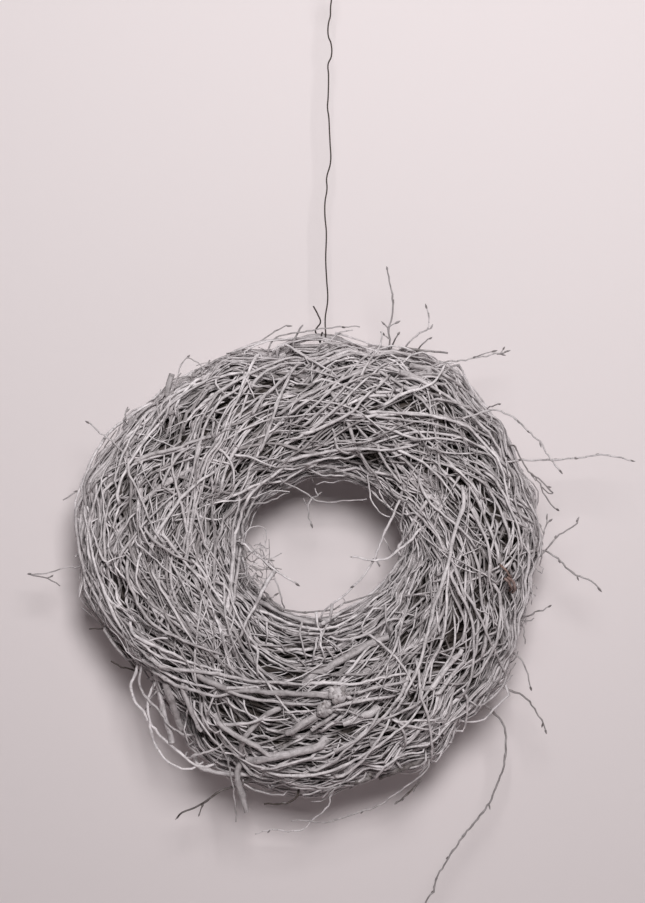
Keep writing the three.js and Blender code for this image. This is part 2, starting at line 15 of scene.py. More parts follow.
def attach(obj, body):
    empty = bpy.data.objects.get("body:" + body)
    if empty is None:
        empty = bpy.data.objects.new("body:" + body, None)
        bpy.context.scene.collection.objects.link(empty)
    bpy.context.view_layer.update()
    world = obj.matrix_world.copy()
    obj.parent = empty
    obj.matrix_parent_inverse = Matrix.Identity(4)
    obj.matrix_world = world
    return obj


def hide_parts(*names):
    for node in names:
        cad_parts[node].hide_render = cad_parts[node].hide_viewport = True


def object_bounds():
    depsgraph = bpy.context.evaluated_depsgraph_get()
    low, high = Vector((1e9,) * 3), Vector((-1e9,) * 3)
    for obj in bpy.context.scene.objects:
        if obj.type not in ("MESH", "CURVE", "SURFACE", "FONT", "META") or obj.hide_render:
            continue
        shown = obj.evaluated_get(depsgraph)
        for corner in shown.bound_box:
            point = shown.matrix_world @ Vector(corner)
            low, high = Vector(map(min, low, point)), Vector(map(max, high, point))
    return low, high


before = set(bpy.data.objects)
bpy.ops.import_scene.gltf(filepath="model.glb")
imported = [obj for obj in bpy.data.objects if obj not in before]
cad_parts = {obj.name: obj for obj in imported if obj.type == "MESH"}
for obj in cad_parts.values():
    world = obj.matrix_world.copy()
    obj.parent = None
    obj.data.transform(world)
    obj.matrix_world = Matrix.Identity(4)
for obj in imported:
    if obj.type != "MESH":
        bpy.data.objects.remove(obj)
CAD_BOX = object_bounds()

MM = 0.001
TURN = 2 * math.pi
SEED = 1227
# The shortest length that a direction is divided by, and what keeps two directions from being parallel
SHORTEST = 1e-12
NUDGE = 1e-6

# The camera stands in front of the photo's middle. At the ring's mid-plane one pixel is one millimetre.
PHOTO_SIZE = (645, 903)
PIXEL = 1 * MM
PIXEL_OF_ORIGIN = (331, -14)
CAMERA_DISTANCE = 2.0
CAMERA_X = (PHOTO_SIZE[0] / 2 - PIXEL_OF_ORIGIN[0]) * PIXEL
CAMERA_Z = (PIXEL_OF_ORIGIN[1] - PHOTO_SIZE[1] / 2) * PIXEL
SENSOR = 36

# The ring: its middle, the radius of its outline and of its hole, and its depth to each side
RING_X = -15 * MM
RING_Z = -568 * MM
OUTLINE = {"radius": 231 * MM, "across": -9 * MM, "up": -9.5 * MM, "corners": 3 * MM}
HOLE = {"radius": 75 * MM, "across": 5.5 * MM, "up": 9 * MM, "widening": 5.75 * MM}
# The outline is flatter at some angles and fuller at one: each has its degrees, how much it takes off, and
# its spread.
FLATS = [(218, 42 * MM, 24), (142, 6 * MM, 9), (116, 8 * MM, 16), (97, 8 * MM, 10), (84, 13 * MM, 18),
         (53, -10 * MM, 7), (348, 9 * MM, 9), (314, 12 * MM, 8), (282, 8 * MM, 14)]
# The hole is wider at one angle and narrower at another, in the same way.
HOLE_BULGES = [(256, 9 * MM, 32), (330, -5 * MM, 20)]
FRONT_DEPTH = 66 * MM
BACK_DEPTH = 54 * MM
BUNDLES = 12

# How far the twigs of each hour lean outwards from the ring's own run, going clockwise, in degrees, the
# share of them that lean the other way, and how much the leans scatter. Near the rims they lean less.
LEANS = {12: 30, 1: 28, 2: 28, 3: 24, 4: 17, 5: 12, 6: 6, 7: 8, 8: 13, 9: 4, 10: 2, 11: 22}
CROSSING = {12: 0.16, 1: 0.14, 2: 0.16, 3: 0.22, 4: 0.26, 5: 0.24, 6: 0.18, 7: 0.26, 8: 0.34, 9: 0.42,
            10: 0.36, 11: 0.24}
CROSSING_LEAN = 10
LEAN_SCATTER = {8: 18, 9: 24, 10: 20, 11: 14}
USUAL_SCATTER = 12
HOLE_RIM_CALM = 0.95
OUTER_RIM_CALM = 0.65
RIM_POWER = 3

# The ring swells and dips along and round it: for each wave its height, how often it comes round the hole
# and round the section, and where it starts. It is calmer at the back and in the hole.
SWELLS = [(2.4 * MM, 5, 1, 0.7), (2.0 * MM, 9, -2, 2.9), (2.1 * MM, 14, 3, 4.4), (1.9 * MM, 23, -4, 1.6),
          (1.6 * MM, 31, 6, 5.1)]
BACK_SWELL = 0.25
HOLE_SWELL = 0.3

# Some twigs lie together in strands: how far apart they lie, how much further along the strand than across
# it, and how many degrees they scatter round its lean. Then the scatter of the strands' own leans, as a
# share of the hour's, and how much they change their slant on the way
STRANDS = 15
STRAND_SPREAD = 5.5 * MM
STRAND_DRAWN_OUT = 3
STRAND_SCATTER = 4
LEAN_OF_STRANDS = 1.2
SWEEP_OF_STRANDS = 0.35

# The twigs by kind. Counts are for one bundle, and sizes are in millimetres.
TWIG_KINDS = [
    {"count": 62, "sides": 5, "stations": 9, "lengths": (90, 210), "radii": (2.2, 3.6), "taper": 0.6,
     "heights": (-25, -14), "crook": 0.7, "wave": 2.0, "sweep": 0.3, "together": 0.3, "scatter": 1.2},
    {"count": 116, "sides": 5, "stations": 15, "lengths": (80, 220), "radii": (0.9, 1.9), "taper": 0.45,
     "heights": (-16, -4), "crook": 0.24, "wave": 1.5, "sweep": 0.35, "together": 0.42, "scatter": 1,
     "side_twigs": 32},
    {"count": 110, "sides": 4, "stations": 11, "lengths": (45, 125), "radii": (0.7, 1.15), "taper": 0.6,
     "heights": (-11, 1), "crook": 0.2, "wave": 1.3, "sweep": 0.45, "together": 0.2, "scatter": 1.5},
    {"count": 5, "sides": 7, "stations": 13, "lengths": (70, 190), "radii": (1.8, 2.7), "taper": 0.82,
     "heights": (-10, -4), "crook": 0.35, "wave": 1.4, "sweep": 0.25, "together": 0.5, "scatter": 1,
     "flat_ends": True},
    {"count": 40, "sides": 6, "stations": 22, "lengths": (140, 290), "radii": (1.0, 1.8), "taper": 0.45,
     "heights": (-4, 3), "crook": 0.2, "wave": 1.1, "sweep": 0.35, "together": 0.45, "scatter": 1,
     "side_twigs": 32},
    {"count": 36, "sides": 4, "stations": 14, "lengths": (60, 140), "radii": (0.65, 1.05), "taper": 0.6,
     "heights": (0, 4), "crook": 0.4, "wave": 2.0, "sweep": 0.8, "together": 0.2, "scatter": 1.6,
     "lift": 15},
    {"count": 80, "sides": 4, "stations": 5, "lengths": (12, 50), "radii": (0.65, 1.3), "taper": 0.75,
     "heights": (-9, 3), "crook": 0.35, "wave": 0.8, "sweep": 0.2, "together": 0, "scatter": 3},
]
# Some of their roots are tucked under the others, some tips go down and the rest rise, and some twigs lift
# off the front: the share of each, how far in millimetres, and the power that keeps it to that end. A lift
# is largest in front, and its edge is how soon it gets there from the rims. Waves is how many a twig makes.
ROOT_DIPS = {"share": 0.7, "depths": (6, 16), "power": 8}
TIP_MOVES = {"share": 0.55, "depths": (3, 10), "rises": (0, 5), "power": 5}
LIFTS = {"share": 0.35, "power": 3, "edge": 1.4}
WAVES = (0.6, 1.8)
# The share of stations that are swollen to joints, and by how much: on laid and on followed twigs
LAID_JOINTS = (0.16, 1.3)
FOLLOWED_JOINTS = (0.12, 1.25)
# The inner stems, and the short twigs that leave others at a slant, with sizes in millimetres
HEART_STEMS = {"count": 20, "sides": 8, "stations": 7, "radii": (9, 11), "height": -31, "uneven": 3,
               "overlap": 1.5, "stray": 0.5, "twist": 0.2, "end_share": 0.6}
SIDE_TWIGS = {"sides": 4, "stations": 6, "lengths": (7, 26), "height": 3, "slants": (0.5, 1.0),
              "lifts": (-0.1, 0.35), "bend": 0.25, "crook": 0.5, "share": 0.6, "radii": (0.5, 1.3),
              "taper": 0.6, "swollen_tips": 0.6, "swell": 1.5, "spacing": 9}
# The paint thins out between these two heights over the ring: partly the real coat that misses the inner
# twigs, partly painted shade that darkens the deep layers. The bark's radius is uneven by a share, and
# no two twigs show the same place of its pattern.
PAINTED_UNSHADED_ABOVE = -3 * MM
BARE_AND_SHADED_BELOW = -18 * MM
BARK_UNEVENNESS = 0.06
PATTERN_APART = 0.37

# Twigs that can be followed in the photo: radius and height over the ring in millimetres, then the pixels
# that they pass, from the root, with a depth in millimetres where they leave the ring's front
UPPER_LEFT = [
    (1.6, 4, [(187, 568), (189, 537), (196, 495), (206, 461), (220, 440), (231, 413), (245, 383),
        (256, 358)]),
    (1.3, 3, [(190, 562), (192, 530), (200, 492), (210, 462), (223, 441), (233, 416), (243, 394)]),
    (1.4, 3, [(184, 560), (187, 527), (193, 491), (203, 460), (216, 440), (227, 414)]),
    (1.7, 4, [(189, 545), (184, 516), (179, 495), (172, 468), (173, 447)]),
    (1.4, 5, [(110, 558), (120, 535), (127, 523), (133, 511)]),
    (1.4, 4, [(141, 525), (156, 542), (177, 556), (198, 564)]),
    (1.3, 5, [(125, 454), (128, 464), (129, 473), (138, 490), (144, 506), (156, 533), (170, 550)]),
    (2.2, 4, [(129, 463), (153, 454), (174, 449), (198, 440), (215, 435)]),
    (1.4, 5, [(213, 445), (225, 454), (234, 471), (232, 495)]),
    (1.3, 5, [(232, 456), (248, 456), (259, 461), (270, 465), (282, 470)]),
    (1.6, 4, [(260, 457), (270, 426), (279, 399), (291, 373), (303, 358)]),
    (1.1, 5, [(249, 385), (263, 387), (274, 385)]),
    (1.5, 4, [(224, 502), (242, 492), (256, 485), (271, 482), (284, 481), (293, 475), (303, 470),
        (312, 466), (325, 460)]),
    (2.2, 6, [(227, 616), (230, 590), (233, 561), (234, 548), (235, 535), (239, 523), (243, 510),
        (249, 497), (259, 486), (272, 477), (290, 469)]),
    (1.9, 6, [(232, 614), (235, 590), (239, 557), (243, 538), (242, 530), (244, 521), (248, 512),
        (254, 504), (261, 503)]),
    (1.6, 6, [(229, 603), (231, 586), (234, 568), (232, 545), (233, 528), (237, 511), (244, 497)]),
    (1.4, 7, [(222, 580), (229, 591), (234, 608), (243, 627), (252, 646)]),
    (1.2, 6, [(225, 574), (224, 596), (226, 618), (232, 640)]),
    (1.4, 5, [(280, 470), (293, 469), (308, 464), (325, 459), (339, 458), (356, 459)]),
    (1.7, 3, [(92, 571), (88, 547), (90, 520), (97, 494), (108, 470)]),
    (1.5, 4, [(116, 612), (110, 602), (102, 586), (95, 565), (91, 543), (86, 520), (81, 495)]),
    (1.3, 2, [(104, 470), (93, 486), (85, 500), (81, 514), (80, 530), (83, 552)]),
    (1.4, 1, [(92, 462), (84, 478), (79, 490), (76, 500), (75, 512), (76, 524)]),
    (1.2, 3, [(101, 602), (98, 589), (91, 576), (84, 564), (80, 548)]),
    (1.2, 4, [(104, 565), (100, 553), (95, 539), (91, 527), (92, 516)]),
    (1.6, 3, [(108, 572), (104, 547), (106, 516), (114, 489)]),
    (1.3, 4, [(112, 534), (114, 524), (116, 515), (123, 500)]),
    (2.0, 3, [(147, 560), (159, 531), (177, 504), (197, 483), (222, 468)]),
    (1.4, 5, [(160, 488), (169, 470), (182, 452), (200, 441)]),
    (1.8, 4, [(76, 499), (84, 480), (92, 460), (103, 441), (114, 428), (127, 419), (140, 409), (160, 398)]),
    (1.6, 4, [(113, 505), (122, 478), (138, 450), (158, 425), (183, 402)]),
    (1.4, 4, [(150, 425), (171, 404), (196, 386), (226, 372)]),
    (1.7, 3, [(190, 413), (214, 395), (243, 377), (277, 362), (307, 353)]),
    (1.9, 4, [(262, 355), (258, 354), (251, 367), (245, 378), (241, 389), (237, 399)]),
    (1.7, 5, [(251, 415), (262, 398), (273, 388), (285, 377), (297, 365), (304, 358)]),
    (1.4, 5, [(273, 412), (283, 389), (293, 372)]),
    (1.6, 4, [(248, 385), (254, 382), (265, 372), (279, 365), (293, 363), (309, 361)]),
    (1.6, 3, [(285, 344), (300, 353), (316, 363), (331, 371), (341, 378)]),
    (1.2, 3, [(299, 368), (316, 371), (330, 375), (344, 381)]),
    (1.5, 2, [(215, 363), (226, 356), (235, 351, -18), (248, 346, -16), (264, 341, -13), (273, 340, -11),
        (292, 339, -8), (311, 337, -6), (322, 338, -6), (331, 340, -7), (344, 344, -9), (356, 350)]),
    (1.0, 2, [(240, 355), (250, 348, -22), (262, 343, -21), (275, 340, -20), (292, 339, -18)]),
    (1.0, 2, [(268, 352), (280, 345, -22), (291, 342, -20), (303, 340, -17), (311, 339, -15),
        (328, 341, -15), (344, 346, -17), (354, 351)]),
    (1.4, 5, [(275, 351), (285, 344, -24), (292, 348, -28), (301, 354, -34), (310, 359)]),
    (1.1, 4, [(275, 351), (284, 345, -26)]),
    (1.4, 3, [(316, 347), (326, 342, -24), (335, 344, -24), (343, 349, -28), (351, 357)]),
    (1.6, 4, [(203, 376), (192, 384), (182, 395), (172, 413)]),
    (1.5, 4, [(216, 389), (206, 402), (193, 413), (181, 431)]),
    (1.2, 5, [(217, 375), (216, 384), (222, 391), (229, 395)]),
    (1.2, 4, [(171, 394), (167, 413), (160, 430)]),
    (1.5, 4, [(156, 402), (142, 420), (129, 442), (118, 468), (112, 492)]),
    (1.4, 4, [(186, 388), (164, 410), (147, 434), (136, 460)]),
    (0.8, 6, [(100, 475), (111, 470), (122, 463), (129, 459)]),
    (0.7, 6, [(105, 564), (114, 559), (126, 555)]),
    (1.1, 5, [(136, 520), (143, 533), (149, 545), (160, 560)]),
]
UPPER_RIGHT = [
    (1.9, 5, [(300, 436), (325, 426), (350, 413), (366, 396), (378, 386)]),
    (1.5, 4, [(300, 430), (333, 400), (355, 376), (375, 360), (386, 350)]),
    (1.5, 4, [(296, 422), (328, 393), (349, 370), (369, 354), (380, 345)]),
    (1.4, 5, [(306, 435), (340, 405), (361, 383), (382, 366), (394, 357)]),
    (1.8, 4, [(276, 415), (285, 410), (299, 399), (313, 392), (330, 384), (346, 378), (370, 367)]),
    (1.4, 5, [(284, 418), (302, 404), (322, 394), (345, 384), (366, 376), (384, 371)]),
    (1.8, 5, [(281, 467), (291, 462), (300, 457), (312, 455), (325, 452), (338, 450), (351, 449),
        (368, 449), (386, 450), (402, 448), (418, 445)]),
    (1.5, 5, [(393, 449), (405, 453), (414, 458), (425, 464), (444, 482), (456, 502)]),
    (1.7, 5, [(350, 418), (383, 415), (416, 413), (441, 418), (466, 426), (482, 441), (499, 461),
        (506, 486), (516, 511)]),
    (1.4, 4, [(370, 423), (393, 430), (416, 439), (438, 438), (459, 441), (476, 448)]),
    (1.1, 5, [(426, 446), (449, 453), (481, 453)]),
    (1.4, 6, [(334, 438), (336, 445), (339, 450), (346, 452), (354, 455)]),
    (2.1, 5, [(463, 486), (464, 502), (459, 519), (453, 539), (448, 564), (441, 587), (433, 610),
        (426, 640), (419, 666), (406, 693), (393, 719)]),
    (1.5, 4, [(416, 474), (423, 491), (433, 506), (449, 519), (466, 534), (479, 551)]),
    (1.4, 4, [(403, 486), (393, 516), (380, 544), (371, 565)]),
    (1.9, 4, [(428, 497), (422, 508), (414, 522), (407, 534), (400, 545), (392, 556)]),
    (1.1, 5, [(405, 497), (403, 513), (401, 525), (400, 537)]),
    (1.2, 3, [(356, 451), (363, 458), (369, 467), (376, 475), (380, 485)]),
    (1.5, 4, [(376, 446), (383, 459), (391, 471), (399, 481), (404, 488)]),
    (1.4, 5, [(449, 463), (466, 479), (487, 501)]),
    (1.8, 3, [(402, 372), (431, 386), (462, 407), (489, 434), (509, 466)]),
    (3.5, 4, [(430, 385), (421, 380), (411, 376), (400, 372, -52)]),
    (3.0, 2, [(433, 371), (424, 368), (411, 365, -42)]),
    (1.6, 6, [(381, 405), (392, 401), (400, 395), (412, 391), (425, 387), (435, 381), (446, 363, -40)]),
    (1.3, 6, [(400, 396), (402, 390), (404, 384)]),
    (1.3, 6, [(376, 388), (384, 381), (393, 371)]),
    (1.2, 5, [(380, 379), (389, 385), (398, 389)]),
    (1.3, 5, [(432, 397), (441, 399), (458, 404), (480, 413), (494, 424)]),
    (1.5, 5, [(366, 412), (380, 412), (396, 413), (412, 414), (430, 415), (444, 417), (458, 421)]),
    (1.3, 5, [(372, 416), (392, 418), (412, 421), (434, 424), (456, 431), (472, 441)]),
    (1.2, 1, [(442, 374), (452, 366, -26), (459, 365, -24), (463, 372, -24), (467, 384, -26), (474, 394)]),
    (1.1, 2, [(434, 368), (446, 363, -22), (456, 364, -22), (464, 373, -20), (469, 383, -22), (478, 398)]),
    (1.2, 3, [(448, 371), (455, 376), (457, 386), (459, 398)]),
    (1.0, 2, [(335, 333, -16), (347, 336, -16), (356, 339, -17), (365, 342, -18), (377, 345, -20),
        (392, 349)]),
    (0.9, 2, [(343, 339, -20), (352, 342, -20), (365, 348, -24), (371, 352)]),
    (0.9, 2, [(346, 343, -14), (356, 344, -16), (368, 350, -20), (378, 356)]),
    (1.1, 3, [(362, 357), (372, 352, -26), (384, 347, -25), (396, 346, -25), (409, 349, -27), (425, 356)]),
    (1.0, 3, [(404, 358), (415, 354, -28), (423, 352, -28), (433, 357, -30), (441, 363)]),
    (1.4, 4, [(360, 378), (367, 364), (376, 352, -28), (381, 344, -27), (382, 331, -26)]),
    (1.4, 4, [(420, 362), (450, 378), (477, 400), (499, 424)]),
    (1.5, 4, [(489, 470), (505, 497), (518, 527), (524, 560)]),
    (1.3, 4, [(500, 520), (492, 548), (489, 575), (495, 601)]),
    (1.8, 3, [(470, 505), (482, 530), (490, 556), (490, 585)]),
]
LOWER_LEFT = [
    (1.9, 4, [(82, 486), (78, 499), (76, 512), (76, 524), (78, 537), (80, 554), (84, 570), (90, 585),
        (97, 598), (103, 610), (111, 623), (123, 636), (133, 645), (142, 653), (150, 662)]),
    (2.1, 5, [(144, 658), (154, 663), (165, 668), (188, 670), (205, 672), (216, 674), (229, 676),
        (241, 679), (259, 682), (278, 682), (300, 684), (314, 684)]),
    (1.8, 4, [(96, 575), (101, 584), (113, 613), (124, 632), (143, 644), (150, 651), (160, 658),
        (171, 663)]),
    (1.8, 4, [(124, 622), (134, 634), (144, 641), (156, 647), (171, 653), (183, 659), (195, 664),
        (212, 669), (225, 672)]),
    (2.2, 5, [(146, 667), (150, 671), (161, 675), (171, 682), (181, 687), (193, 690), (205, 694),
        (217, 696), (229, 694), (240, 691)]),
    (2.9, 6, [(193, 676), (205, 680), (217, 685), (233, 690), (253, 691), (278, 693), (300, 694),
        (330, 696)]),
    (1.8, 5, [(124, 557), (126, 569), (129, 582), (134, 594), (139, 606), (153, 624), (174, 636),
        (203, 648), (225, 656)]),
    (1.4, 5, [(140, 551), (138, 563), (136, 577), (138, 587), (142, 593), (150, 604)]),
    (1.9, 3, [(121, 645), (150, 664), (184, 681), (220, 688), (262, 686)]),
    (1.8, 3, [(220, 690), (262, 700), (312, 704), (352, 696)]),
    (1.2, 6, [(282, 713), (300, 711), (318, 710)]),
    (1.8, 6, [(330, 708), (346, 704), (362, 701), (380, 698), (396, 697)]),
    (1.3, 5, [(331, 710), (346, 710), (358, 715), (366, 722)]),
    (3.8, -1, [(378, 711), (360, 717), (343, 724)]),
    (1.8, 3, [(100, 624), (119, 651), (133, 664)]),
    (3.0, 2, [(155, 670), (158, 684, -24), (162, 701, -25.5), (165, 718, -25.5), (169, 730, -25.5),
        (172, 743, -26)]),
    (4.2, 1, [(163, 679), (169, 692), (173, 705), (178, 718), (182, 732)]),
    (2.4, 3, [(180, 682), (182, 688), (188, 703), (195, 718), (200, 733)]),
    (1.0, 3, [(182, 724), (185, 732), (190, 749)]),
    (3.0, -3, [(284, 706), (269, 713), (257, 722), (248, 733), (242, 743), (240, 761)]),
    (2.4, 2, [(344, 708, -60), (328, 719), (312, 731)]),
    (2.0, 0, [(350, 711, -60), (334, 722), (317, 734)]),
    (4.0, 2, [(324, 710, -58), (306, 722), (287, 734)]),
    (4.1, 1, [(326, 745), (300, 751), (274, 757), (247, 762)]),
    (1.5, 4, [(318, 757), (298, 761), (276, 768), (256, 771)]),
    (2.6, 5, [(212, 720), (224, 727), (236, 736), (251, 743), (263, 751), (273, 760)]),
    (2.0, 4, [(210, 722), (224, 725), (241, 724), (253, 722), (268, 716)]),
    (1.4, 6, [(252, 640), (258, 652), (257, 668), (263, 676), (271, 688), (281, 702), (290, 713),
        (298, 721), (305, 730)]),
    (1.2, 5, [(198, 708), (205, 721), (212, 731), (223, 734)]),
    (1.2, 4, [(216, 729), (223, 736), (231, 745), (247, 760)]),
    (1.1, 4, [(190, 706), (199, 720), (211, 737), (223, 751), (229, 767)]),
    (1.0, 5, [(216, 692), (213, 698), (209, 709), (205, 720)]),
    (1.1, 3, [(225, 699), (236, 708), (251, 715), (263, 722), (272, 727)]),
    (1.0, 3, [(241, 694), (244, 701), (247, 713), (257, 722)]),
    (1.1, 4, [(258, 722), (265, 720), (278, 720), (293, 718)]),
    (1.2, 2, [(240, 779), (244, 784), (253, 789), (265, 793), (278, 795), (290, 796)]),
    (1.2, 2, [(296, 781), (287, 783), (278, 785), (265, 791)]),
    (1.1, 2, [(285, 786), (299, 788), (316, 789), (329, 788)]),
    (1.1, 5, [(229, 570), (234, 612), (231, 632), (237, 656)]),
    (2.1, 5, [(275, 571, -38), (269, 578, -43), (264, 588, -49), (259, 598, -55), (253, 610), (246, 622),
        (240, 640)]),
    (1.1, 5, [(170, 560), (184, 586), (196, 612)]),
    (1.0, 5, [(187, 563), (206, 588)]),
    (1.4, 5, [(150, 570), (168, 600), (188, 634), (204, 660)]),
    (1.4, 4, [(196, 560), (214, 590), (236, 622), (262, 650)]),
    (2.5, 3, [(252, 592), (261, 602), (271, 607), (281, 613), (293, 617), (305, 621), (314, 623),
        (325, 625)]),
    (1.9, 3, [(322, 624, -40), (332, 618, -22), (342, 612, -12), (352, 606, -8), (362, 600, -6),
        (373, 592, -6), (385, 580, -8), (396, 566, -14), (403, 551)]),
    (1.6, 4, [(256, 604), (267, 612), (279, 619), (292, 624), (308, 628), (325, 629), (341, 624),
        (355, 616), (367, 606), (378, 595), (387, 583)]),
    (1.4, 4, [(254, 612), (266, 620), (281, 627), (300, 632), (320, 634), (342, 631), (358, 624),
        (372, 613)]),
    (1.2, 5, [(268, 619), (267, 630), (268, 641)]),
    (1.3, 6, [(303, 619), (300, 631), (302, 643), (307, 654)]),
    (1.3, 7, [(316, 612, -30), (318, 625), (321, 633), (321, 646), (325, 657)]),
    (1.5, 7, [(318, 635), (316, 645), (313, 657)]),
    (1.3, 6, [(326, 632), (332, 638), (342, 640), (357, 638)]),
    (1.2, 6, [(324, 638), (335, 645), (343, 653)]),
    (1.2, 6, [(324, 644), (335, 659)]),
]
LOWER_RIGHT = [
    (1.6, 4, [(380, 713), (366, 733), (350, 744), (332, 756)]),
    (1.8, 4, [(448, 570), (459, 592), (471, 616), (474, 643), (473, 666), (468, 686), (461, 703)]),
    (1.5, 5, [(416, 660), (419, 673), (421, 697), (427, 712), (431, 734), (432, 744), (432, 768)]),
    (1.8, 4, [(496, 582), (501, 603), (499, 626), (496, 643), (484, 666), (474, 683)]),
    (1.5, 4, [(466, 593), (479, 615), (491, 643), (502, 666), (509, 683)]),
    (1.3, 4, [(509, 672), (507, 679), (501, 689), (489, 700), (480, 705), (468, 702)]),
    (1.3, 4, [(513, 690), (511, 695), (505, 698), (497, 706), (488, 715), (482, 721), (468, 722),
        (458, 720)]),
    (1.4, 4, [(393, 723), (413, 721), (433, 720), (446, 716)]),
    (1.4, 5, [(396, 723), (416, 728), (438, 729)]),
    (1.4, 4, [(398, 723), (406, 737), (403, 752)]),
    (1.8, 4, [(300, 683), (327, 683), (355, 684), (380, 678), (403, 674), (414, 673)]),
    (1.9, 4, [(300, 693), (332, 693), (356, 693), (380, 686), (400, 683), (414, 679)]),
    (1.8, 4, [(332, 708), (350, 703), (375, 698), (393, 698)]),
    (4.1, 0, [(305, 679), (331, 666), (358, 650), (386, 636)]),
    (1.6, 5, [(348, 638), (360, 637), (373, 630), (385, 622), (400, 616)]),
    (1.3, 6, [(385, 600), (386, 618), (388, 632)]),
    (1.2, 6, [(377, 604), (365, 619), (360, 631)]),
    (1.3, 3, [(445, 721), (440, 734, -24), (435, 748)]),
    (2.6, 1, [(429, 693), (446, 669), (463, 650)]),
    (2.3, 1, [(436, 699), (452, 675), (468, 657)]),
    (1.8, 4, [(333, 782), (355, 767), (373, 747), (393, 716)]),
    (1.6, 4, [(305, 774), (330, 764), (350, 746), (371, 726)]),
    (1.5, 4, [(373, 781), (386, 766), (406, 754), (429, 754)]),
    (1.4, 4, [(398, 767), (407, 768, -26), (415, 767, -26), (424, 763, -26), (430, 756)]),
    (1.5, 3, [(300, 789), (333, 789), (370, 777)]),
    (1.4, 4, [(458, 716), (456, 722), (449, 735), (443, 750), (433, 768)]),
    (1.3, 5, [(468, 694), (467, 701), (467, 715), (464, 729), (461, 738)]),
    (1.2, 4, [(458, 718), (455, 726), (451, 749)]),
    (1.7, 3, [(252, 770), (290, 776), (327, 772), (362, 756), (394, 734), (425, 708)]),
    (1.4, 4, [(404, 610), (398, 640), (384, 668), (363, 690)]),
    (1.4, 4, [(360, 628), (384, 646), (404, 668), (418, 694)]),
    (1.5, 7, [(332, 604, -30), (331, 612, -34), (328, 622), (324, 631), (318, 642)]),
]

# Hollows that the photo shows dark between the twigs: pixel, reach and depth in millimetres
# Twigs let down into a hollow get less paint at their lower height, so the dark of a hollow is also painted
# shade.
HOLLOWS = [
    ((255, 706), 20, 15), ((373, 461), 15, 13), ((359, 468), 14, 10), ((127, 656), 14, 9),
    ((283, 743), 16, 12), ((153, 680), 12, 9), ((340, 735), 14, 12), ((407, 403), 15, 10),
    ((123, 511), 10, 12), ((140, 622), 10, 8), ((234, 743), 17, 13), ((279, 715), 12, 12),
    ((432, 428), 12, 8), ((198, 699), 15, 12), ((271, 377), 17, 13), ((303, 383), 14, 12),
    ((291, 769), 11, 8), ((358, 765), 12, 8), ((189, 725), 18, 14), ((348, 425), 12, 8),
    ((387, 745), 12, 8), ((419, 453), 11, 8), ((437, 489), 12, 8), ((370, 749), 12, 8),
    ((182, 603), 11, 8), ((118, 479), 10, 9), ((400, 514), 12, 8), ((180, 528), 10, 7),
    ((383, 641), 11, 7), ((385, 689), 11, 7), ((241, 412), 11, 7), ((269, 448), 11, 7),
    ((450, 586), 11, 7), ((507, 591), 10, 6), ((116, 584), 10, 7), ((313, 737), 12, 9),
    ((366, 709), 12, 8), ((210, 742), 17, 13), ((450, 508), 9, 9), ((452, 523), 8, 9), ((489, 518), 8, 9),
    ((398, 406), 9, 8), ((416, 397), 8, 7), ((300, 388), 9, 8), ((122, 520), 9, 12), ((120, 487), 8, 13),
    ((128, 533), 8, 12), ((119, 586), 8, 13), ((136, 620), 8, 12), ((167, 606), 8, 10),
    ((203, 552), 8, 10), ((121, 471), 7, 11), ((216, 588), 7, 9), ((108, 560), 7, 9), ((157, 560), 7, 9),
    ((170, 640), 7, 9), ((405, 752), 18, 8), ((372, 770), 14, 8), ((342, 768), 9, 7), ((478, 690), 13, 7),
]

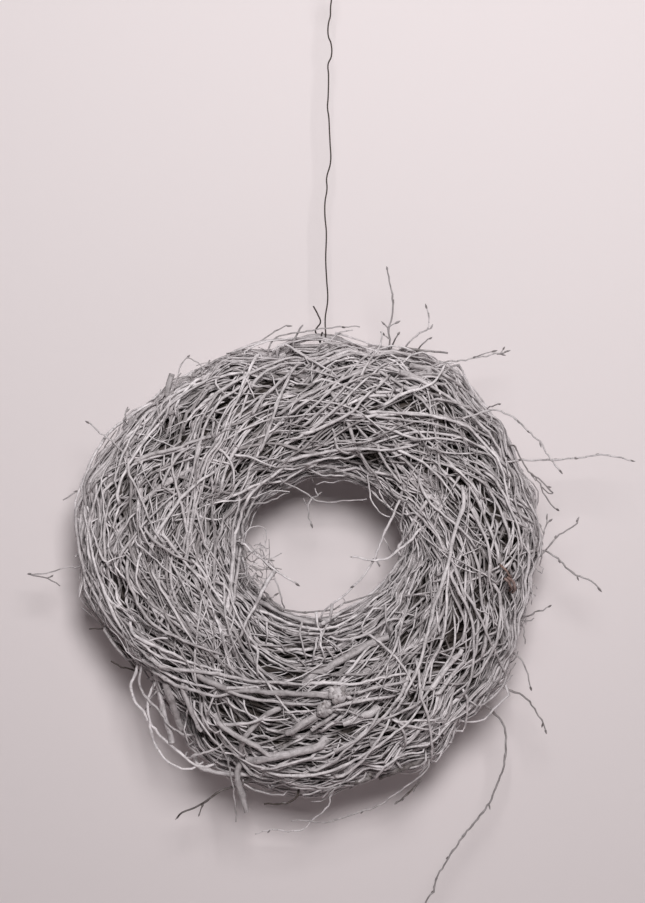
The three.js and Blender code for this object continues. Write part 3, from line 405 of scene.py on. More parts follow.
# Loose sprigs: radius in millimetres, how well painted they are, the pixels that they pass from the root,
# with a depth in millimetres where they hang clear of the ring, the places along them that carry buds,
# and their forks as the place that they leave from and where they end
SPRIGS = [
    (0.95, 0.76, [(392, 341), (388, 328, -22), (391, 322, -23), (393, 305, -25), (392, 294, -26),
        (387, 268, -28)], [3, 5], [(1, (383, 323, -26)), (1, (398, 322, -26))]),
    (0.8, 0.76, [(394, 340), (399, 333, -24)], [1], []),
    (0.7, 0.76, [(392, 341), (382, 333, -24)], [1], []),
    (0.95, 0.76, [(405, 344), (419, 334, -30), (428, 329, -34), (429, 316, -36), (426, 306, -38)], [4],
        [(2, (432, 326, -36))]),
    (0.8, 0.76, [(418, 347), (431, 338, -34)], [1], []),
    (1.3, 0.7, [(399, 347), (420, 350, -26), (448, 353, -28)], [], []),
    (0.95, 0.76, [(419, 371), (444, 362, -40), (464, 360, -42), (473, 358, -43), (497, 354, -45),
        (508, 351, -46)], [3, 5], [(4, (504, 348, -48)), (4, (504, 355, -43)), (3, (495, 351, -46))]),
    (0.8, 0.76, [(488, 407), (500, 404, -44)], [1], []),
    (1.0, 0.76, [(453, 420), (475, 415, -60), (490, 410, -58), (502, 412, -57), (517, 420, -55),
        (527, 430, -54), (540, 442, -52), (548, 455, -51), (553, 462, -50), (561, 472, -49)], [4, 5, 6, 9],
        []),
    (1.05, 0.76, [(507, 461), (520, 460, -32), (534, 460, -33), (553, 460, -36), (574, 458, -37),
        (596, 455, -39), (607, 455, -40), (619, 457, -42), (633, 461, -44)], [3, 4, 5, 8], []),
    (0.9, 0.76, [(514, 442), (518, 453, -38), (523, 462, -36), (529, 472, -36), (540, 480, -35),
        (547, 487, -35), (553, 492, -34), (553, 495, -34), (547, 492, -33), (542, 487, -33)], [5], []),
    (0.8, 0.76, [(535, 476, -36), (540, 484, -35), (542, 490, -34), (547, 498, -33), (551, 505, -32),
        (558, 510, -31)], [5], []),
    (0.7, 0.76, [(529, 472, -36), (536, 481, -34)], [], []),
    (0.9, 0.76, [(535, 556), (540, 549, -20), (544, 534, -22), (546, 525, -23), (547, 516, -24)], [4],
        [(3, (551, 520, -26)), (2, (540, 525, -24))]),
    (0.9, 0.76, [(535, 562), (541, 556, -22), (547, 549, -24), (555, 538, -26), (566, 531, -28),
        (575, 525, -29), (578, 519, -30)], [3, 6], []),
    (1.1, 0.76, [(530, 552), (545, 551, -14), (552, 555, -14), (559, 560, -15), (573, 573, -17),
        (585, 578, -18), (595, 584, -19), (600, 590, -20)], [3, 7], [(4, (578, 579, -18))]),
    (0.6, 0.76, [(530, 567), (537, 570, -20), (541, 574, -22), (543, 569, -22), (540, 566, -22)], [], []),
    (0.7, 0.76, [(527, 583), (534, 585, -20), (537, 589, -20)], [], []),
    (0.7, 0.76, [(518, 586), (526, 589, -26), (536, 596, -24)], [], []),
    (0.8, 0.76, [(515, 619), (522, 620, -28), (529, 621, -30), (534, 618, -31)], [], []),
    (0.95, 0.76, [(522, 618), (533, 614, -30), (536, 611, -32), (541, 611, -33), (550, 606, -35)], [4], []),
    (0.7, 0.76, [(519, 618), (523, 624, -30), (525, 644, -26)], [], []),
    (0.8, 0.76, [(520, 655), (526, 670, -18), (531, 689, -16)], [2], []),
    (1.0, 0.76, [(503, 688), (512, 691, -16), (523, 696, -16), (531, 704, -17), (538, 715, -18),
        (543, 723, -19), (546, 732, -20)], [5, 6], []),
    (1.25, 0.76, [(478, 698), (497, 716, -10), (504, 727, -10), (506, 741, -10), (505, 758, -11),
        (503, 770, -11), (497, 784, -12), (489, 804, -13), (480, 815, -14), (466, 833, -15),
        (458, 844, -16), (449, 857, -17), (437, 878, -18), (433, 891, -19), (426, 902, -20),
        (420, 925, -20)], [5, 7, 9, 11, 12, 13], []),
    (1.0, 1, [(433, 757), (429, 769, -24), (415, 780, -24), (407, 786, -23), (393, 796, -22),
        (377, 806, -21), (363, 811, -20), (342, 818, -20), (328, 822, -19), (319, 822, -19),
        (308, 821, -19), (296, 820, -18), (291, 821, -18)], [6], []),
    (0.9, 1, [(336, 787), (333, 794, -20), (330, 798, -20), (329, 804, -20), (322, 812, -19),
        (313, 820, -18), (305, 828, -18), (296, 831, -17), (283, 831, -17), (270, 830, -16),
        (255, 834, -16)], [2, 9], []),
    (1.0, 0.3, [(421, 780, -25), (415, 787, -25), (404, 797, -24), (396, 803, -24)], [1, 2, 3], []),
    (1.3, 0.3, [(250, 782), (230, 788, -22), (221, 790, -22), (214, 795, -22), (203, 803, -20),
        (190, 810, -18), (182, 813, -17), (177, 818, -16)], [4, 7], [(4, (199, 815, -18))]),
    # These sprigs under the ring and behind its lower left edge have little or no paint: bare stems, and
    # painted shade where they lie in the ring's shadow.
    (1.1, 0, [(299, 791), (296, 798, -24), (287, 803, -24), (278, 804, -24), (264, 804, -22)], [2], []),
    (0.7, 0, [(112, 626, 0), (107, 628, -2), (98, 629, -4), (89, 629, -6)], [], []),
    (1.1, 0, [(136, 672, -6), (133, 670, -8), (122, 667, -10), (111, 661, -12)], [], []),
    (1.4, 0.2, [(105, 616, -10), (110, 631, -12), (115, 644, -12), (124, 654, -12), (135, 668, -14)], [],
        []),
    (1.3, 0.1, [(110, 626, -4), (115, 640, -4), (124, 650, -6), (137, 665, -10)], [], []),
    (1.2, 0.2, [(112, 634, 2), (118, 648, 0), (129, 660, -4), (139, 671, -8)], [], []),
    (0.9, 0.76, [(90, 565), (77, 567, -8), (66, 567, -9), (55, 571, -10), (40, 574, -12), (29, 574, -12)],
        [5], []),
    (0.8, 0.76, [(29, 574, -12), (36, 576, -12), (47, 578, -10), (53, 581, -10), (60, 586, -10)], [],
        [(2, (52, 576, -12))]),
    (1.0, 0.8, [(125, 454), (112, 441, -28), (105, 436, -28), (100, 433, -28), (96, 429, -28),
        (91, 424, -28), (87, 422, -28)], [6], []),
    (0.9, 0.76, [(86, 489), (78, 491, -12), (73, 493, -12), (67, 498, -13), (63, 500, -14)], [1], []),
    (0.9, 0.7, [(123, 424), (125, 417, -24), (126, 412, -25), (128, 407, -26)], [2], []),
    (0.75, 0.76, [(172, 398), (173, 388, -22), (177, 377, -20), (182, 364, -18), (187, 358, -16),
        (193, 360, -16), (199, 364, -18), (205, 372, -20), (210, 380, -20)], [4], []),
    (3.1, 0.76, [(166, 398), (168, 388, -24), (172, 374, -22)], [], []),
    (1.1, 0.76, [(200, 376), (203, 370, -14), (210, 360, -12)], [], []),
    (0.8, 0.76, [(190, 384), (192, 377, -16), (193, 372, -16)], [], []),
    (0.85, 0.76, [(230, 359), (248, 346, -10), (262, 340, -10), (272, 333, -11), (285, 326, -12),
        (290, 326, -12)], [5], []),
    (0.85, 0.76, [(265, 348), (273, 339, -18), (283, 335, -20), (301, 332, -22), (317, 330, -23),
        (330, 328, -24), (342, 327, -24), (353, 326, -24), (360, 327, -24)], [6], []),
    (1.1, 0.76, [(292, 345), (296, 336, -20), (303, 325, -22)], [], []),
    (0.8, 0.76, [(328, 343), (339, 333, -20), (353, 330, -22)], [], []),
    (3.1, 1, [(239, 764), (237, 777, -46), (241, 791, -44), (247, 812, -42)], [], []),
    (1.0, 1, [(227, 760), (230, 771, -50), (232, 783, -50), (234, 797, -48), (236, 812, -48),
        (236, 822, -48)], [], []),
    (1.15, 1, [(312, 463), (327, 466, -40), (338, 470, -39), (348, 474, -38), (356, 477, -37),
        (365, 480, -36), (376, 485, -36)], [5], []),
    (1.0, 1, [(303, 464), (310, 469, -34), (323, 476, -32), (332, 475, -32), (342, 476, -32),
        (348, 475, -33)], [], []),
    (0.9, 1, [(366, 474), (369, 485, -36), (370, 492, -35), (372, 501, -34), (376, 508, -33),
        (380, 513, -32), (385, 516, -31), (390, 517, -30)], [], []),
    (0.9, 1, [(377, 472), (377, 480, -32), (379, 488, -31), (380, 494, -30), (384, 501, -29),
        (387, 504, -28)], [], []),
    (0.8, 0.8, [(398, 484), (396, 491, -34), (394, 501, -32), (390, 508, -30)], [], []),
    (0.95, 1, [(246, 506), (253, 504, -32), (263, 503, -31), (271, 501, -30), (277, 498, -29),
        (283, 494, -28), (288, 493, -28)], [6], []),
    (0.85, 1, [(276, 476), (287, 484, -32), (296, 488, -31), (303, 492, -30), (308, 495, -30),
        (317, 501, -31), (326, 502, -32), (336, 502, -33), (342, 501, -34), (351, 500, -35),
        (361, 500, -36), (367, 499, -36)], [4], []),
    (1.1, 1, [(313, 497, -30), (310, 501, -29), (308, 505, -28), (308, 511, -27), (309, 517, -26),
        (312, 526, -26)], [5], [(2, (304, 500, -30))]),
    (0.9, 1, [(313, 497, -30), (318, 495, -31), (316, 492, -32), (315, 488, -33)], [1], []),
    (0.7, 0.5, [(309, 466), (311, 474, -24), (312, 479, -23), (314, 483, -22)], [], []),
    (1.4, 1, [(423, 526), (417, 532, -48), (412, 539, -46), (405, 545, -44), (397, 551, -42),
        (391, 556, -40), (385, 559, -38), (378, 560, -37), (371, 560, -36), (363, 559, -35),
        (356, 557, -34), (352, 557, -34)], [11], []),
    (1.35, 1, [(407, 482), (403, 491, -48), (399, 501, -46), (395, 510, -44), (391, 520, -42),
        (386, 530, -40), (382, 538, -38), (377, 553, -35), (374, 559, -34), (365, 574, -31),
        (354, 586, -29), (342, 597, -28), (327, 607, -28), (318, 612)], [8, 10], []),
    (0.6, 1, [(383, 537, -38), (388, 546, -38), (392, 555)], [], []),
    (1.2, 1, [(238, 541), (246, 545, -42), (253, 553, -40), (260, 557, -38), (266, 562, -37),
        (275, 570, -36), (281, 574, -35), (288, 578, -34), (298, 585, -32)], [8], []),
    (0.9, 1, [(272, 572, -37), (277, 584, -36), (280, 593, -35), (282, 601, -34), (285, 611)], [], []),
    (0.7, 1, [(263, 598), (270, 598, -32), (277, 594, -34)], [2], []),
    (0.6, 1, [(240, 540), (243, 536, -40), (248, 530, -40), (253, 527, -39), (259, 526, -38),
        (264, 528, -37), (267, 532, -36), (266, 539, -36), (265, 544, -36)], [], []),
    (0.6, 1, [(268, 563, -37), (269, 556, -36), (269, 548, -36), (269, 539, -36)], [], []),
    (0.55, 1, [(262, 560, -37), (261, 553, -36), (260, 544, -36)], [], []),
    (0.7, 1, [(233, 574), (246, 573, -42), (248, 566, -40), (258, 563, -38)], [], []),
    (0.75, 0.8, [(240, 542), (245, 548, -40), (247, 557, -39), (251, 562, -38), (258, 558, -37),
        (264, 559, -36), (268, 566, -35), (272, 570, -34)], [], []),
    (0.7, 0.7, [(236, 571), (247, 572, -40), (247, 566, -39), (258, 569, -38), (263, 575, -37),
        (260, 578, -37), (256, 573, -38), (258, 580, -36)], [], []),
    (0.75, 0.8, [(238, 578), (251, 576, -38), (249, 583, -37), (258, 587, -36), (265, 593, -34),
        (269, 600)], [], []),
    (0.65, 0.8, [(247, 552, -40), (255, 551, -39), (262, 556, -38), (270, 560, -37), (274, 567, -36)], [3],
        []),
    (0.6, 0.7, [(244, 560, -41), (252, 567, -39), (260, 571, -37), (266, 569, -36), (263, 563, -37)], [],
        []),
    (0.7, 1, [(244, 588), (247, 584, -40), (251, 577, -38), (259, 580, -36), (264, 585, -34)], [], []),
    (1.0, 0.75, [(258, 585), (265, 591, -30), (270, 599, -28), (276, 605, -26), (283, 610, -25),
        (293, 611, -24), (303, 613, -24), (313, 612, -24), (322, 611, -24), (332, 610, -24),
        (346, 602, -26), (363, 598, -28), (384, 588)], [6], []),
    (0.7, 1, [(336, 608, -24), (345, 603, -26), (342, 597, -28)], [], []),
    (1.5, 1, [(84, 552), (78, 555, -8), (75, 557, -8)], [], []),
]

# The other followed twigs are written as those of the ring are. Bare or darker ones: reddish at the
# right, and speckled ends under the ring
REDDISH = [
    (1.0, 5, [(502, 565), (507, 572), (513, 580)]),
    (1.6, 5, [(510, 577), (514, 584), (516, 593)]),
    (1.3, 5, [(507, 579), (510, 585), (513, 591)]),
]
SPECKLED = [
    (2.9, 2, [(425, 759), (411, 765), (398, 770), (386, 775), (380, 778)]),
    (2.5, 2, [(372, 777), (358, 781), (341, 785)]),
]
# The stems at the top that the wire is wound round
HANGER_STEMS = [
    (1.9, 0, [(272, 351, -6), (290, 342, -4), (305, 338, -2.4), (319, 337, -2), (326, 337, -2),
        (341, 340, -3), (358, 347, -5), (374, 358)]),
    (1.9, 0, [(278, 354, 6), (294, 344, 4), (307, 339.4, 2.2), (319, 338.5, 1.9), (326, 338.5, 1.9),
        (340, 341, 3), (354, 347, 4), (368, 358)]),
    (1.6, 0, [(284, 346, 2), (298, 339.5, 1), (308, 336, 0.2), (319, 335.2, 0), (326, 335.2, 0),
        (337, 337, 0), (350, 343, -2), (366, 353)]),
]
# Loops of long thin stems that hang below the ring at the left
LOW_LOOPS = [
    (1.6, 0, [(139, 652), (138, 664, -26), (135, 675, -25), (131, 686, -24), (134, 699, -24),
        (144, 713, -24), (153, 727, -24), (166, 741, -24), (178, 751, -24), (188, 760, -24),
        (199, 768, -24), (212, 772, -24)]),
    (1.4, 0, [(143, 654), (142, 663, -32), (140, 676, -31), (140, 687, -30), (148, 699, -30),
        (159, 711, -30), (168, 724, -30), (177, 731, -30), (190, 742)]),
    (1.4, 0, [(156, 678), (153, 685, -30), (148, 701, -28), (149, 718, -28), (151, 731, -27),
        (155, 744, -26), (164, 758, -25), (174, 765, -24), (187, 770, -23), (199, 770, -23)]),
    (0.9, 0, [(150, 697, -28), (148, 703, -27), (144, 713, -24)]),
    (2.2, 0, [(190, 765), (199, 768, -23), (211, 771, -23), (223, 774, -24), (235, 774, -26),
        (247, 774, -28), (263, 771, -30), (278, 767), (293, 762)]),
    (1.2, 0, [(182, 760), (194, 756, -30), (206, 752), (222, 748)]),
]

# Knots in the stout stems at the bottom: middle, direction in degrees and radius in millimetres. The
# lengths and radii of a knot and of the scars all round it are shares of that radius, but for the height
# over the ring.
KNOTS = [((324, 709), 14, 7.2), ((339, 695), 5, 8.0), ((246, 689), -8, 3.4)]
KNOT = {"profile": [0.2, 0.6, 0.88, 1.0, 1.0, 0.86, 0.58, 0.2], "length": 2.1, "sides": 11, "uneven": 0.05,
        "height": 4 * MM, "bare": 0.04}
SCARS = {"count": 16, "sides": 7, "along": 0.7, "slant": 0.5, "reach": (0.9, 1.35), "radii": (0.2, 0.42),
         "steps": (0.3, 0.6, 0.85, 1.0), "profile": [1.0, 1.1, 1.0, 0.6], "paint": 0.95, "bare": 0.1}

# Buds and the thin forks that end in one, with sizes in millimetres, and the share of a bud's length that
# is sunk in its stem
BUD = {"profile": [0.35, 0.85, 1.0, 0.9, 0.6, 0.2], "lengths": (4.0, 6.8), "radii": (0.85, 1.25),
       "sides": 6, "sunk": 0.1, "tip_sunk": 0.6, "slant": 0.7, "paint": 0.45}
FORK = {"sides": 5, "radii": (0.7, 0.5), "bend": 0.8}

# How the twigs of the photo are followed. Thicker ones than STOUT have flat cut ends and keep their width.
FEWEST_STATIONS = 6
SMOOTH_STEPS = 10
TRACED_SPACING = 6 * MM
SPRIG_SPACING = 4 * MM
TRACED_CROOK = 0.3 * MM
SPRIG_CROOK = 0.35 * MM
END_DIP = 9 * MM
END_DIP_SHARE = 0.14
STOUT = 2.3 * MM
# Followed twigs lie on top, and their tint starts at palest: the paler coat there is painted light on the
# outer layer, most on the thin ones.
STOUT_TWIG = {"sides": 8, "taper": 0.85, "sprig_taper": 0.95, "tip_dip": END_DIP / 3, "palest": 0.1}
THIN_TWIG = {"sides": 6, "taper": 0.62, "sprig_taper": 0.7, "tip_dip": END_DIP, "palest": 0.4}
# The other followed twigs: their rows, taper, dips of root and tip, crook, paint and bareness
OTHER_TWIGS = [
    (REDDISH, 0.8, (END_DIP / 2, END_DIP / 2), SPRIG_CROOK, 0.9, 0.65),
    (SPECKLED, 0.8, (END_DIP / 2, 0), SPRIG_CROOK, 0.35, 0.0),
    (HANGER_STEMS, 0.9, (0, END_DIP), TRACED_CROOK / 3, 1.0, 0.0),
    (LOW_LOOPS, 0.8, (END_DIP, END_DIP), SPRIG_CROOK, 1.0, 0.0),
]

# A line of sight is followed to the ring's front in a few steps, and not nearer to its rim than this share.
SIGHT_STEPS = 8
NEAREST_RIM = 0.07
# No twig is let down further than this by a hollow.
HOLLOW_FLOOR = -20 * MM
# The radius of the straight rods, which is narrow enough to keep them apart, and the steps of a turn that
# the twigs are spread by
ROD_RADIUS = 0.25
TURN_STEPS = 181

# The tuft of fine fibres at the left of the hole: its middle and reach in pixels, and sizes in millimetres
TUFT = {"middle": (256, 568), "reach": (13, 18), "count": 40, "depth": (-44, -28), "radii": (0.3, 0.5),
        "sides": 4, "stations": 9, "lengths": (8, 22), "curls": (0.3, 1.7), "flatness": (1, 0.5, 1),
        "paint": 0.8}

WIRE_RADIUS = 0.75 * MM
# The wire's route, in millimetres: its cut end under the eye, its kinks down to the wreath as x and z
# places, the winding round the stems at the top, and its cut tail
WIRE_CUT_END = [(-1.3, -6.5), (-1.9, -5.2)]
EYE_RADIUS = 5
EYE_OPENS_AT = (-0.11, 0.65)
EYE_STEPS = 12
WIRE_KINKS = [
    (1.9, -5.4), (0.6, -7.8), (0.4, -11), (0.4, -14), (-0.4, -20.6), (-0.8, -30.6), (-2.5, -37.2),
    (-2.6, -50.5), (-0.1, -57.1), (0.3, -70.4), (-2.9, -78.3), (-2.5, -88.6), (-2.9, -111.8),
    (-3.5, -121.8), (-2.2, -131.7), (-1.6, -144), (-1, -156.3), (-0.5, -176.9), (-4.4, -192.7),
    (-4, -203), (-6, -216.7), (-6, -231.8), (-4.7, -245.5), (-5.3, -274.3), (-4.4, -293.5),
    (-3.3, -314), (-5.8, -333),
]
WIRE_LEANS_FROM = 20
WINDING_RADIUS = 5.05
WINDING_TURNS = 1.5
WINDING_STEPS = 15
WINDING_X = -5.4
WINDING_ADVANCE = -6.6
HANGER_Z = -351.5
WIRE_TAIL = [
    (-14.4, 4.8, -348), (-15.6, 3.6, -344.4), (-13.6, 1.8, -341), (-10.6, 0.4, -336.4),
    (-13, -0.6, -329), (-17.7, -1.5, -320.2),
]

# Colours: those that vary are pairs, from the dark end to the pale end
COAT_COLOURS = ("a49d9e", "ede6e8")
BARK_COLOURS = ("4a413d", "9f7565")
IRON_COLOURS = ("2c2a2b", "554843")
WALL_COLOUR = "e2d9da"
LIGHT_COLOUR = "fffefe"
ROOM_COLOUR = "f0eeee"

# The wall behind and the floor below, and the light on them
WALL_GAP = 2 * MM
WALL_SIZE = 4.0
FLOOR_Z = -1.9
WINDOW_LIGHT = {"place": (0.2, -2.2, 0.42), "aim": (0.2, 0, 0.42), "size": 0.8, "power": 57}
BACK_LIGHT = {"place": (-0.6, 1.9, 0.5), "aim": (RING_X, 0, RING_Z), "size": 1.4, "power": 12}
ROOM_LIGHT = 0.08


def rgb(code):
    """A colour written as six hex digits, as linear light."""
    shares = [int(code[i:i + 2], 16) / 255 for i in (0, 2, 4)]
    return [s / 12.92 if s <= 0.04045 else ((s + 0.055) / 1.055) ** 2.4 for s in shares] + [1.0]


def smooth_step(value, low, high):
    """0 below low and 1 above high, with a soft change between."""
    share = np.clip((value - low) / (high - low), 0, 1)
    return share * share * (3 - 2 * share)


def unit(vectors):
    """The vectors at length 1."""
    return vectors / np.maximum(np.linalg.norm(vectors, axis=-1, keepdims=True), SHORTEST)


def either_way(draw, count):
    """1 or -1 for each of the count, by chance."""
    return np.where(draw.random(count) < 0.5, -1.0, 1.0)


def linked(name, data):
    """A new object of the scene at the origin."""
    thing = bpy.data.objects.new(name, data)
    bpy.context.scene.collection.objects.link(thing)
    return thing


def add_camera():
    """The camera at the photo's own viewing angle, level and square to the wall."""
    data = bpy.data.cameras.new("photo_camera")
    data.sensor_fit = "VERTICAL"
    data.sensor_height = SENSOR
    data.lens = SENSOR * CAMERA_DISTANCE / (PHOTO_SIZE[1] * PIXEL)
    camera = linked("photo_camera", data)
    camera.location = (CAMERA_X, -CAMERA_DISTANCE, CAMERA_Z)
    camera.rotation_euler = (TURN / 4, 0, 0)
    bpy.context.scene.camera = camera


def wire_route():
    """The wire's places from its cut end at the eye to its tail above the wreath."""
    cut_end = [(x, 0, z) for x, z in WIRE_CUT_END]
    turns = TURN * np.linspace(EYE_OPENS_AT[1], EYE_OPENS_AT[0], EYE_STEPS + 1)
    eye = [(EYE_RADIUS * math.cos(t), 0, EYE_RADIUS * math.sin(t)) for t in turns]
    stretch = [(x, -WINDING_RADIUS * float(smooth_step(-z, WIRE_LEANS_FROM, -HANGER_Z)), z)
               for x, z in WIRE_KINKS]
    shares = np.linspace(0, 1, WINDING_STEPS + 1)
    winding = [(WINDING_X + WINDING_ADVANCE * s,
                WINDING_RADIUS * math.cos(TURN * (0.5 + WINDING_TURNS * s)),
                HANGER_Z + WINDING_RADIUS * math.sin(TURN * (0.5 + WINDING_TURNS * s))) for s in shares]
    return [Vector(place) * MM for place in (*cut_end, *eye, *stretch, *winding, *WIRE_TAIL)]


def add_wire():
    """The hanging wire as one smooth line of round section. The radius is on its points, because they are
    what a curve's bounds grow by."""
    data = bpy.data.curves.new("iron_hanging_wire", "CURVE")
    data.dimensions = "3D"
    data.bevel_depth = 1
    data.bevel_resolution = 3
    data.use_fill_caps = True
    data.resolution_u = 5
    data.materials.append(dark_iron())
    route = wire_route()
    spline = data.splines.new("BEZIER")
    spline.bezier_points.add(len(route) - 1)
    for point, place in zip(spline.bezier_points, route):
        point.co = place
        point.radius = WIRE_RADIUS
        point.handle_left_type = point.handle_right_type = "AUTO"
    wire = linked("iron_hanging_wire", data)
    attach(wire, "root")
    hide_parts("hanging_wire")


def bumps_at(angle, bumps):
    """The height of gentle bumps round the hole, each given by its degrees, height and spread."""
    away = [(np.degrees(angle) - degrees + 180) % 360 - 180 for degrees, *_ in bumps]
    return [height * np.exp(-(far / spread) ** 2) for far, (_, height, spread) in zip(away, bumps)]


def section_at(angle):
    """The radius of the ring's middle and half its width, at angles round the hole."""
    outline = (OUTLINE["radius"] + OUTLINE["across"] * np.cos(angle) + OUTLINE["up"] * np.sin(angle)
               + OUTLINE["corners"] * np.sin(2 * angle))
    for flat in bumps_at(angle, FLATS):
        outline = outline - flat
    hole = (HOLE["radius"] + HOLE["across"] * np.cos(angle) + HOLE["up"] * np.sin(angle)
            + HOLE["widening"] * np.cos(2 * angle))
    for bulge in bumps_at(angle, HOLE_BULGES):
        hole = hole + bulge
    return (outline + hole) / 2, (outline - hole) / 2


def place_at(angle, reach, depth):
    """Places at angles round the hole, distances from its middle and depths."""
    return np.stack([RING_X + reach * np.cos(angle), depth, RING_Z + reach * np.sin(angle)], axis=-1)


def on_ring(angle, turn, height):
    """Places at angles round the hole, turns round the section from its outer side over the front,
    and heights over the ring's surface."""
    middle, half_width = section_at(angle)
    reach = middle + (half_width + height) * np.cos(turn)
    depth = np.where(np.sin(turn) > 0, FRONT_DEPTH, BACK_DEPTH) + height
    return place_at(angle, reach, -depth * np.sin(turn))


def swell_at(angle, turn):
    """How far the ring's surface stands out at angles round the hole and turns round the section."""
    flattening = np.where(np.sin(turn) < 0, BACK_SWELL, 1) * np.where(
        np.cos(turn) < 0, 1 - (1 - HOLE_SWELL) * np.cos(turn) ** 2, 1)
    return flattening * sum(height * np.sin(round_hole * angle + round_section * turn + start)
                            for height, round_hole, round_section, start in SWELLS)


def on_sight_line(pixel, depth):
    """The place at a depth that the camera sees at a pixel of the photo."""
    share = PIXEL * (CAMERA_DISTANCE + depth) / CAMERA_DISTANCE
    return np.array([CAMERA_X + (pixel[0] - PHOTO_SIZE[0] / 2) * share, depth,
                     CAMERA_Z - (pixel[1] - PHOTO_SIZE[1] / 2) * share])


def on_front(pixel, height):
    """The place at a height over the ring's front that the camera sees at a pixel of the photo."""
    depth = -FRONT_DEPTH / 2
    raised = height
    for _ in range(SIGHT_STEPS):
        x, _, z = on_sight_line(pixel, depth)
        angle = math.atan2(z - RING_Z, x - RING_X)
        middle, half_width = section_at(angle)
        across = (math.hypot(x - RING_X, z - RING_Z) - middle) / (half_width + raised)
        raised = height + swell_at(angle, math.acos(min(max(across, -1), 1)))
        depth = -(FRONT_DEPTH + raised) * math.sqrt(max(1 - across * across, NEAREST_RIM))
    return on_sight_line(pixel, depth)


@functools.cache
def hollow_places():
    """The hollows as places on the ring's front, with their reach and depth."""
    return [(on_front(pixel, 0), reach * MM, depth * MM) for pixel, reach, depth in HOLLOWS]


def hollow_at(places):
    """How deep the hollows between the twigs are at places on the ring."""
    drop = np.zeros(places.shape[:-1])
    for middle, reach, depth in hollow_places():
        far = np.linalg.norm(places - middle, axis=-1)
        drop = np.maximum(drop, depth * np.exp(-(far / reach) ** 2))
    return drop


def places_of(stops, height):
    """The places of pixels: on the ring's front, or at their own depth where they have one."""
    return np.array([on_sight_line(stop, stop[2] * MM) if len(stop) > 2 else on_front(stop, height)
                     for stop in stops])


def angle_of(places):
    """The angles of places round the hole."""
    return np.arctan2(places[..., 2] - RING_Z, places[..., 0] - RING_X)


def away_from_ring(places):
    """The directions that point away from the ring's middle line."""
    angle = angle_of(places)
    middle, _ = section_at(angle)
    return unit(places - place_at(angle, middle, 0 * angle))


def held_to_ring(places, height):
    """The places, drawn in where they stand out further than a height over the ring."""
    angle = angle_of(places)
    reach = np.hypot(places[..., 2] - RING_Z, places[..., 0] - RING_X)
    middle, half_width = section_at(angle)
    depth = np.where(places[..., 1] < 0, FRONT_DEPTH, BACK_DEPTH)
    height = height + swell_at(angle, np.arctan2(-places[..., 1] / depth, (reach - middle) / half_width))
    share = np.hypot((reach - middle) / (half_width + height), places[..., 1] / (depth + height))
    drawn_in = 1 / np.maximum(share, 1)
    return place_at(angle, middle + (reach - middle) * drawn_in, places[..., 1] * drawn_in)


def bundle_of(place):
    """The number of the bundle that a place belongs to: 0 is at twelve o'clock, and they go clockwise."""
    angle = math.atan2(place[2] - RING_Z, place[0] - RING_X)
    return round((TURN / 4 - angle) / (TURN / BUNDLES)) % BUNDLES


def smooth_route(stops, spacing):
    """A smooth line through the stops, at even steps of about the spacing."""
    ends = np.concatenate([[2 * stops[0] - stops[1]], stops, [2 * stops[-1] - stops[-2]]])
    fine = [stops[0]]
    for a, b, c, d in zip(ends, ends[1:], ends[2:], ends[3:]):
        for s in np.arange(1, SMOOTH_STEPS + 1) / SMOOTH_STEPS:
            fine.append(0.5 * (2 * b + (c - a) * s + (2 * a - 5 * b + 4 * c - d) * s * s
                               + (3 * b - a - 3 * c + d) * s ** 3))
    fine = np.array(fine)
    along = np.concatenate([[0], np.cumsum(np.linalg.norm(np.diff(fine, axis=0), axis=1))])
    stations = max(FEWEST_STATIONS, 2 * round(along[-1] / spacing / 2))
    even = np.linspace(0, along[-1], stations)
    return np.stack([np.interp(even, along, fine[:, i]) for i in range(3)], axis=-1)


def side_directions(places):
    """At each station the direction ahead, and one square to it that turns as little as it can."""
    ahead = unit(np.gradient(places, axis=1))
    side = np.empty_like(places)
    side[:, 0] = unit(np.cross(ahead[:, 0], away_from_ring(places[:, 0]) + NUDGE))
    for i in range(1, places.shape[1]):
        carried = side[:, i - 1]
        side[:, i] = unit(carried - ahead[:, i] * np.sum(carried * ahead[:, i], axis=-1, keepdims=True))
    return ahead, side


def distance_along(places):
    """How far each station is from its stem's root."""
    steps = np.linalg.norm(np.diff(places, axis=1), axis=-1)
    return np.concatenate([np.zeros((len(places), 1)), np.cumsum(steps, axis=1)], axis=1)


